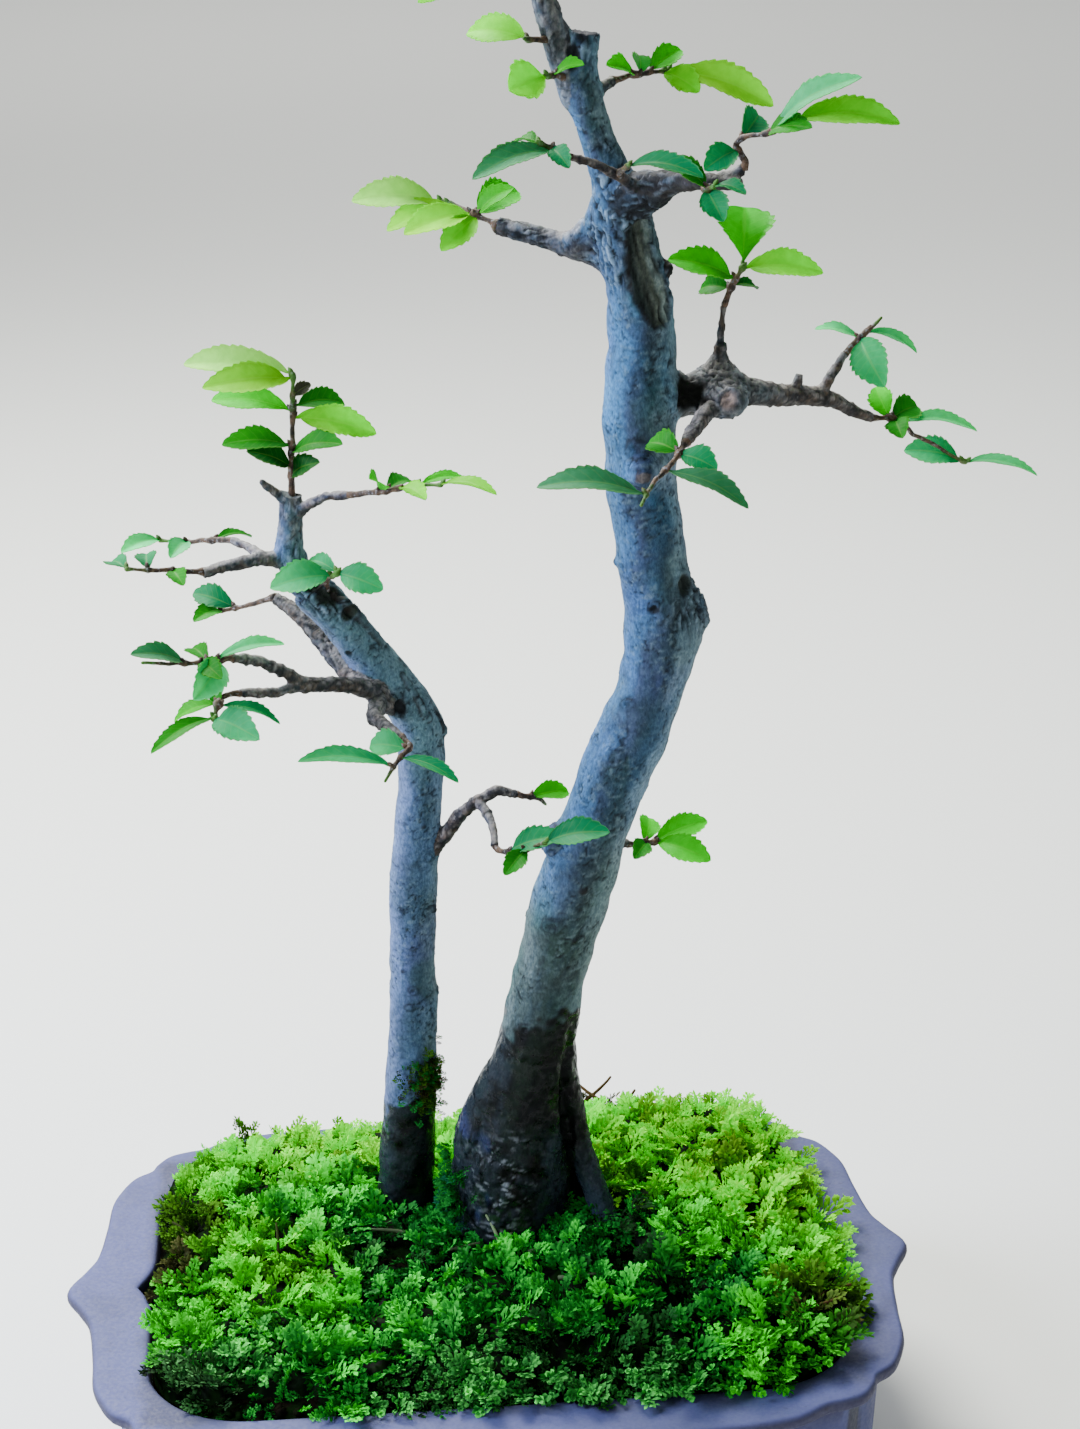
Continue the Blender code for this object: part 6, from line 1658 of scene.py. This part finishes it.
def leafMaterial():
    # a young elm leaf: thin, faintly waxed above, paler below, with light coming through
    values = dict(dull=(0.55, 0.75, 0.5, 1), mottleMm=1.8, grainMm=0.6, grainDepthMm=0.05, through=0.55)
    material, tree, shader, place = startMaterial("elm_leaf", {
        "Roughness": 0.5, "IOR": 1.4, "Specular IOR Level": 0.2})
    tint, veinTint = (addNode(tree, "Attribute", {"attribute_name": name})
                      for name in ("tint", "veinTint"))
    blade = addNode(tree, "UVMap", {"uv_map": "blade"})
    blade = addNode(tree, "SeparateXYZ", {0: blade})
    across = addNode(tree, "Math", {
        "operation": "MULTIPLY_ADD", 0: blade.outputs["X"], 1: 2.0, 2: -1.0})
    across = addNode(tree, "Math", {"operation": "ABSOLUTE", 0: across})
    # side veins climb towards the blade's edge
    climb = addNode(tree, "Math", {
        "operation": "MULTIPLY", 0: blade.outputs["Y"], 1: float(leaf["veins"])})
    outward = addNode(tree, "Math", {"operation": "MULTIPLY", 0: across, 1: 1.5})
    phase = addNode(tree, "Math", {"operation": "SUBTRACT", 0: climb, 1: outward})
    wave = addNode(tree, "Math", {"operation": "PINGPONG", 0: phase, 1: 0.5})
    sideVein, midVein, margin = (
        addNode(tree, "MapRange", {"Value": source, "From Min": low, "From Max": high,
                                             "To Min": atLow, "To Max": atHigh, **eased})
        for source, low, high, atLow, atHigh in (
            (wave, 0, 0.14, 0.16, 0), (across, 0.02, 0.11, 0.45, 0), (across, 0.82, 1, 0, 0.4)))
    veins = addNode(tree, "Math", {"operation": "MAXIMUM", 0: sideVein, 1: midVein})
    veins = addNode(tree, "Math", {"operation": "MAXIMUM", 0: veins, 1: margin})
    mottle, grain = (
        addNode(tree, "TexNoise", {"Vector": place, "Scale": 1 / (values[size] * mm),
                                             "Detail": detail, "Roughness": 0.55})
        for size, detail in (("mottleMm", 3), ("grainMm", 2)))
    mottle = addNode(tree, "MapRange", {
        "Value": mottle, "From Min": 0.3, "From Max": 0.7, "To Max": 0.4, **eased})
    dull = addNode(tree, "Mix", {**colourProduct, 6: tint, 7: values["dull"]})
    body = addNode(tree, "Mix", {**colourMix, 0: mottle, 6: tint, 7: dull})
    colour = addNode(tree, "Mix", {**colourMix, 0: veins, 6: body, 7: veinTint})
    setNode(tree, shader, {
        "Base Color": colour,
        "Normal": addNode(tree, "Bump", {
            "Height": grain, "Strength": 0.4, "Distance": values["grainDepthMm"] * mm})})
    lit = addNode(tree, "BsdfTranslucent", {"Color": colour})
    blend = addNode(tree, "MixShader", {0: values["through"], 1: shader, 2: lit})
    setNode(tree, tree.nodes["Material Output"], {"Surface": blend})
    return material


def twigMaterial():
    # this year's wood: dark brown with grey pores, still green at its tip
    values = dict(dark="#211813", brown="#5f4835", pore="#7c8088", young="#3f7a1c",
                  patchMm=1.6, poreMm=0.8, grainMm=0.5, grainDepthMm=0.15)
    material, tree, shader, place = startMaterial("elm_twig", {
        "Roughness": 0.65, "IOR": 1.45, "Specular IOR Level": 0.35})
    patches, pores, grain = (
        addNode(tree, "TexNoise", {"Vector": place, "Scale": 1 / (values[size] * mm),
                                             "Detail": detail, "Roughness": 0.55})
        for size, detail in (("patchMm", 4), ("poreMm", 2), ("grainMm", 3)))
    layers = dict(
        brown=addNode(tree, "MapRange", {
            "Value": patches, "From Min": 0.35, "From Max": 0.65, **eased}),
        pore=addNode(tree, "MapRange", {
            "Value": pores, "From Min": 0.56, "From Max": 0.68, "To Max": 0.6, **eased}),
        young=addNode(tree, "Attribute", {"attribute_name": "young"}).outputs["Fac"])
    colour = rgba(values["dark"])
    for tone, share in layers.items():
        colour = addNode(tree, "Mix", {**colourMix, 0: share, 6: colour, 7: rgba(values[tone])})
    setNode(tree, shader, {
        "Base Color": colour,
        "Normal": addNode(tree, "Bump", {
            "Height": grain, "Strength": 0.8, "Distance": values["grainDepthMm"] * mm})})
    return material


def makeSpray(name, spray, leafFinish, twigFinish, rng):
    shapes, places, tints, veinTints = [], [], [], []
    for values, letter in zip(spray["leaves"], spray["tones"]):
        share, heading, rise, length, width, turn = values
        points, faces, blade, upperCount = leafShape(
            pointAlong(spray["twig"], share), heading, rise, length, width, turn, rng)
        shapes.append((points, faces))
        places.append(blade)
        tone = linear(leaf["tones"][letter]) * rng.uniform(0.85, 1.15)
        veinTone = tone + (linear(leaf["veinTone"]) - tone) * 0.35
        paler = np.concatenate((np.zeros(upperCount), np.ones(len(points) - upperCount)))
        # painted light: each blade is darker at its base and paler towards its tip, and one half paler than
        # the other, as if lit
        along = 0.72 + 0.5 * blade[:, 1:] + 0.12 * np.sign(rng.uniform(-1, 1)) * (blade[:, :1] * 2 - 1)
        tints.append(mixed(tone * along, tone * 0.8 + (0.02, 0.08, 0.05), 0.5 * paler))
        veinTints.append(np.tile(veinTone, (len(points), 1)))
    points, faces = joinShapes(shapes)
    piece = buildMesh("leaves_" + name, points, faces)
    layer = piece.data.uv_layers.new(name="blade")
    corners = np.empty(len(piece.data.loops), np.int32)
    piece.data.loops.foreach_get("vertex_index", corners)
    layer.data.foreach_set("uv", np.concatenate(places)[corners].astype(np.float32).ravel())
    paint(piece, "tint", np.clip(np.concatenate(tints), 0, 1))
    paint(piece, "veinTint", np.clip(np.concatenate(veinTints), 0, 1))
    finishPiece(piece, leafFinish, "leaf", "spray_" + name)
    makeTwig(name, spray, twigFinish, rng)


def makeTwig(name, spray, twigFinish, rng):
    # the twig starts inside the wood that carries it, at "root", as thick as that wood
    points = np.array(spray["twig"], float)
    radii = np.linspace(twig["baseRadius"], twig["tipRadius"], len(points))
    points = np.vstack((spray["root"][:3], points))
    rootRadius = spray["root"][3] * twig["rootShare"] if len(spray["root"]) == 4 else twig["rootRadius"]
    radii = np.concatenate(([rootRadius], radii))
    line = smoothOpen(np.column_stack((points, radii)), twig["lineStep"])
    swell = np.zeros(len(line))
    for share, *_ in spray["leaves"]:  # a swelling at each leaf
        spot = pointAlong(spray["twig"], share)
        away = np.linalg.norm(line[:, :3] - spot, axis=1)
        swell += twig["swelling"] * np.exp(-(away / twig["swellReach"])**2)
    line[:, 3] = (line[:, 3] + swell) * (1 + 0.12 * noise(line[:, :3], 1.3, 81))
    sway = np.column_stack([noise(line[:, :3], 3.0, seed) for seed in (82, 83, 84)])
    line[:, :3] += twig["sway"] * sway
    shapes = [tube(line, twig["sides"], roundEnds=True)]
    for share, heading, *_ in spray["leaves"]:
        spot = pointAlong(spray["twig"], share)
        tilt = math.radians(heading + rng.uniform(-25, 25))
        out = unit(np.array([math.cos(tilt), math.sin(tilt), rng.uniform(0.9, 1.6)]))
        bud = [(*(spot + out * far), radius) for far, radius in
               ((0.1, 0.3), (0.6, 0.52), (1.1, 0.5), (1.5, 0.3), (1.8, 0.08))]
        shapes.append(tube(bud, 7))
    points, faces = joinShapes(shapes)
    start, end = line[0, :3], line[-1, :3]
    reach = (points - start) @ (end - start) / ((end - start) @ (end - start))
    piece = buildMesh("twig_" + name, points, faces)
    paint(piece, "young", 0.75 * smoothStep(0.7, 1.05, reach + 0.15 * noise(points, 2, 34)))
    finishPiece(piece, twigFinish, "bark")


# Everything together

makeCamera()
makeStudio()
print("camera, floor and lights")

makePot()
dressScreens()
print("pot")

randomDraw = np.random.default_rng(7)
makeSoil(randomDraw)
print("soil")

mossFinish = mossMaterial()
mossClumps = makeClumps(randomDraw)
makeMossMat(mossFinish, mossClumps)
makeMossSprigs(mossFinish, mossClumps, randomDraw)
print("moss")

barkFinish = barkMaterial()
growWood("wood_large", largeTree, barkFinish, "trunk_large")
growWood("wood_small", smallTree, barkFinish, "trunk_small")
print("wood")

leafFinish, twigFinish = leafMaterial(), twigMaterial()
for sprayName, spray in sprays.items():
    makeSpray(sprayName, spray, leafFinish, twigFinish, randomDraw)
print("leaves")

print("sizes written;", sum(triangleCounts.values()), "triangles in all, at most",
      max(triangleCounts.values()), "in a piece")
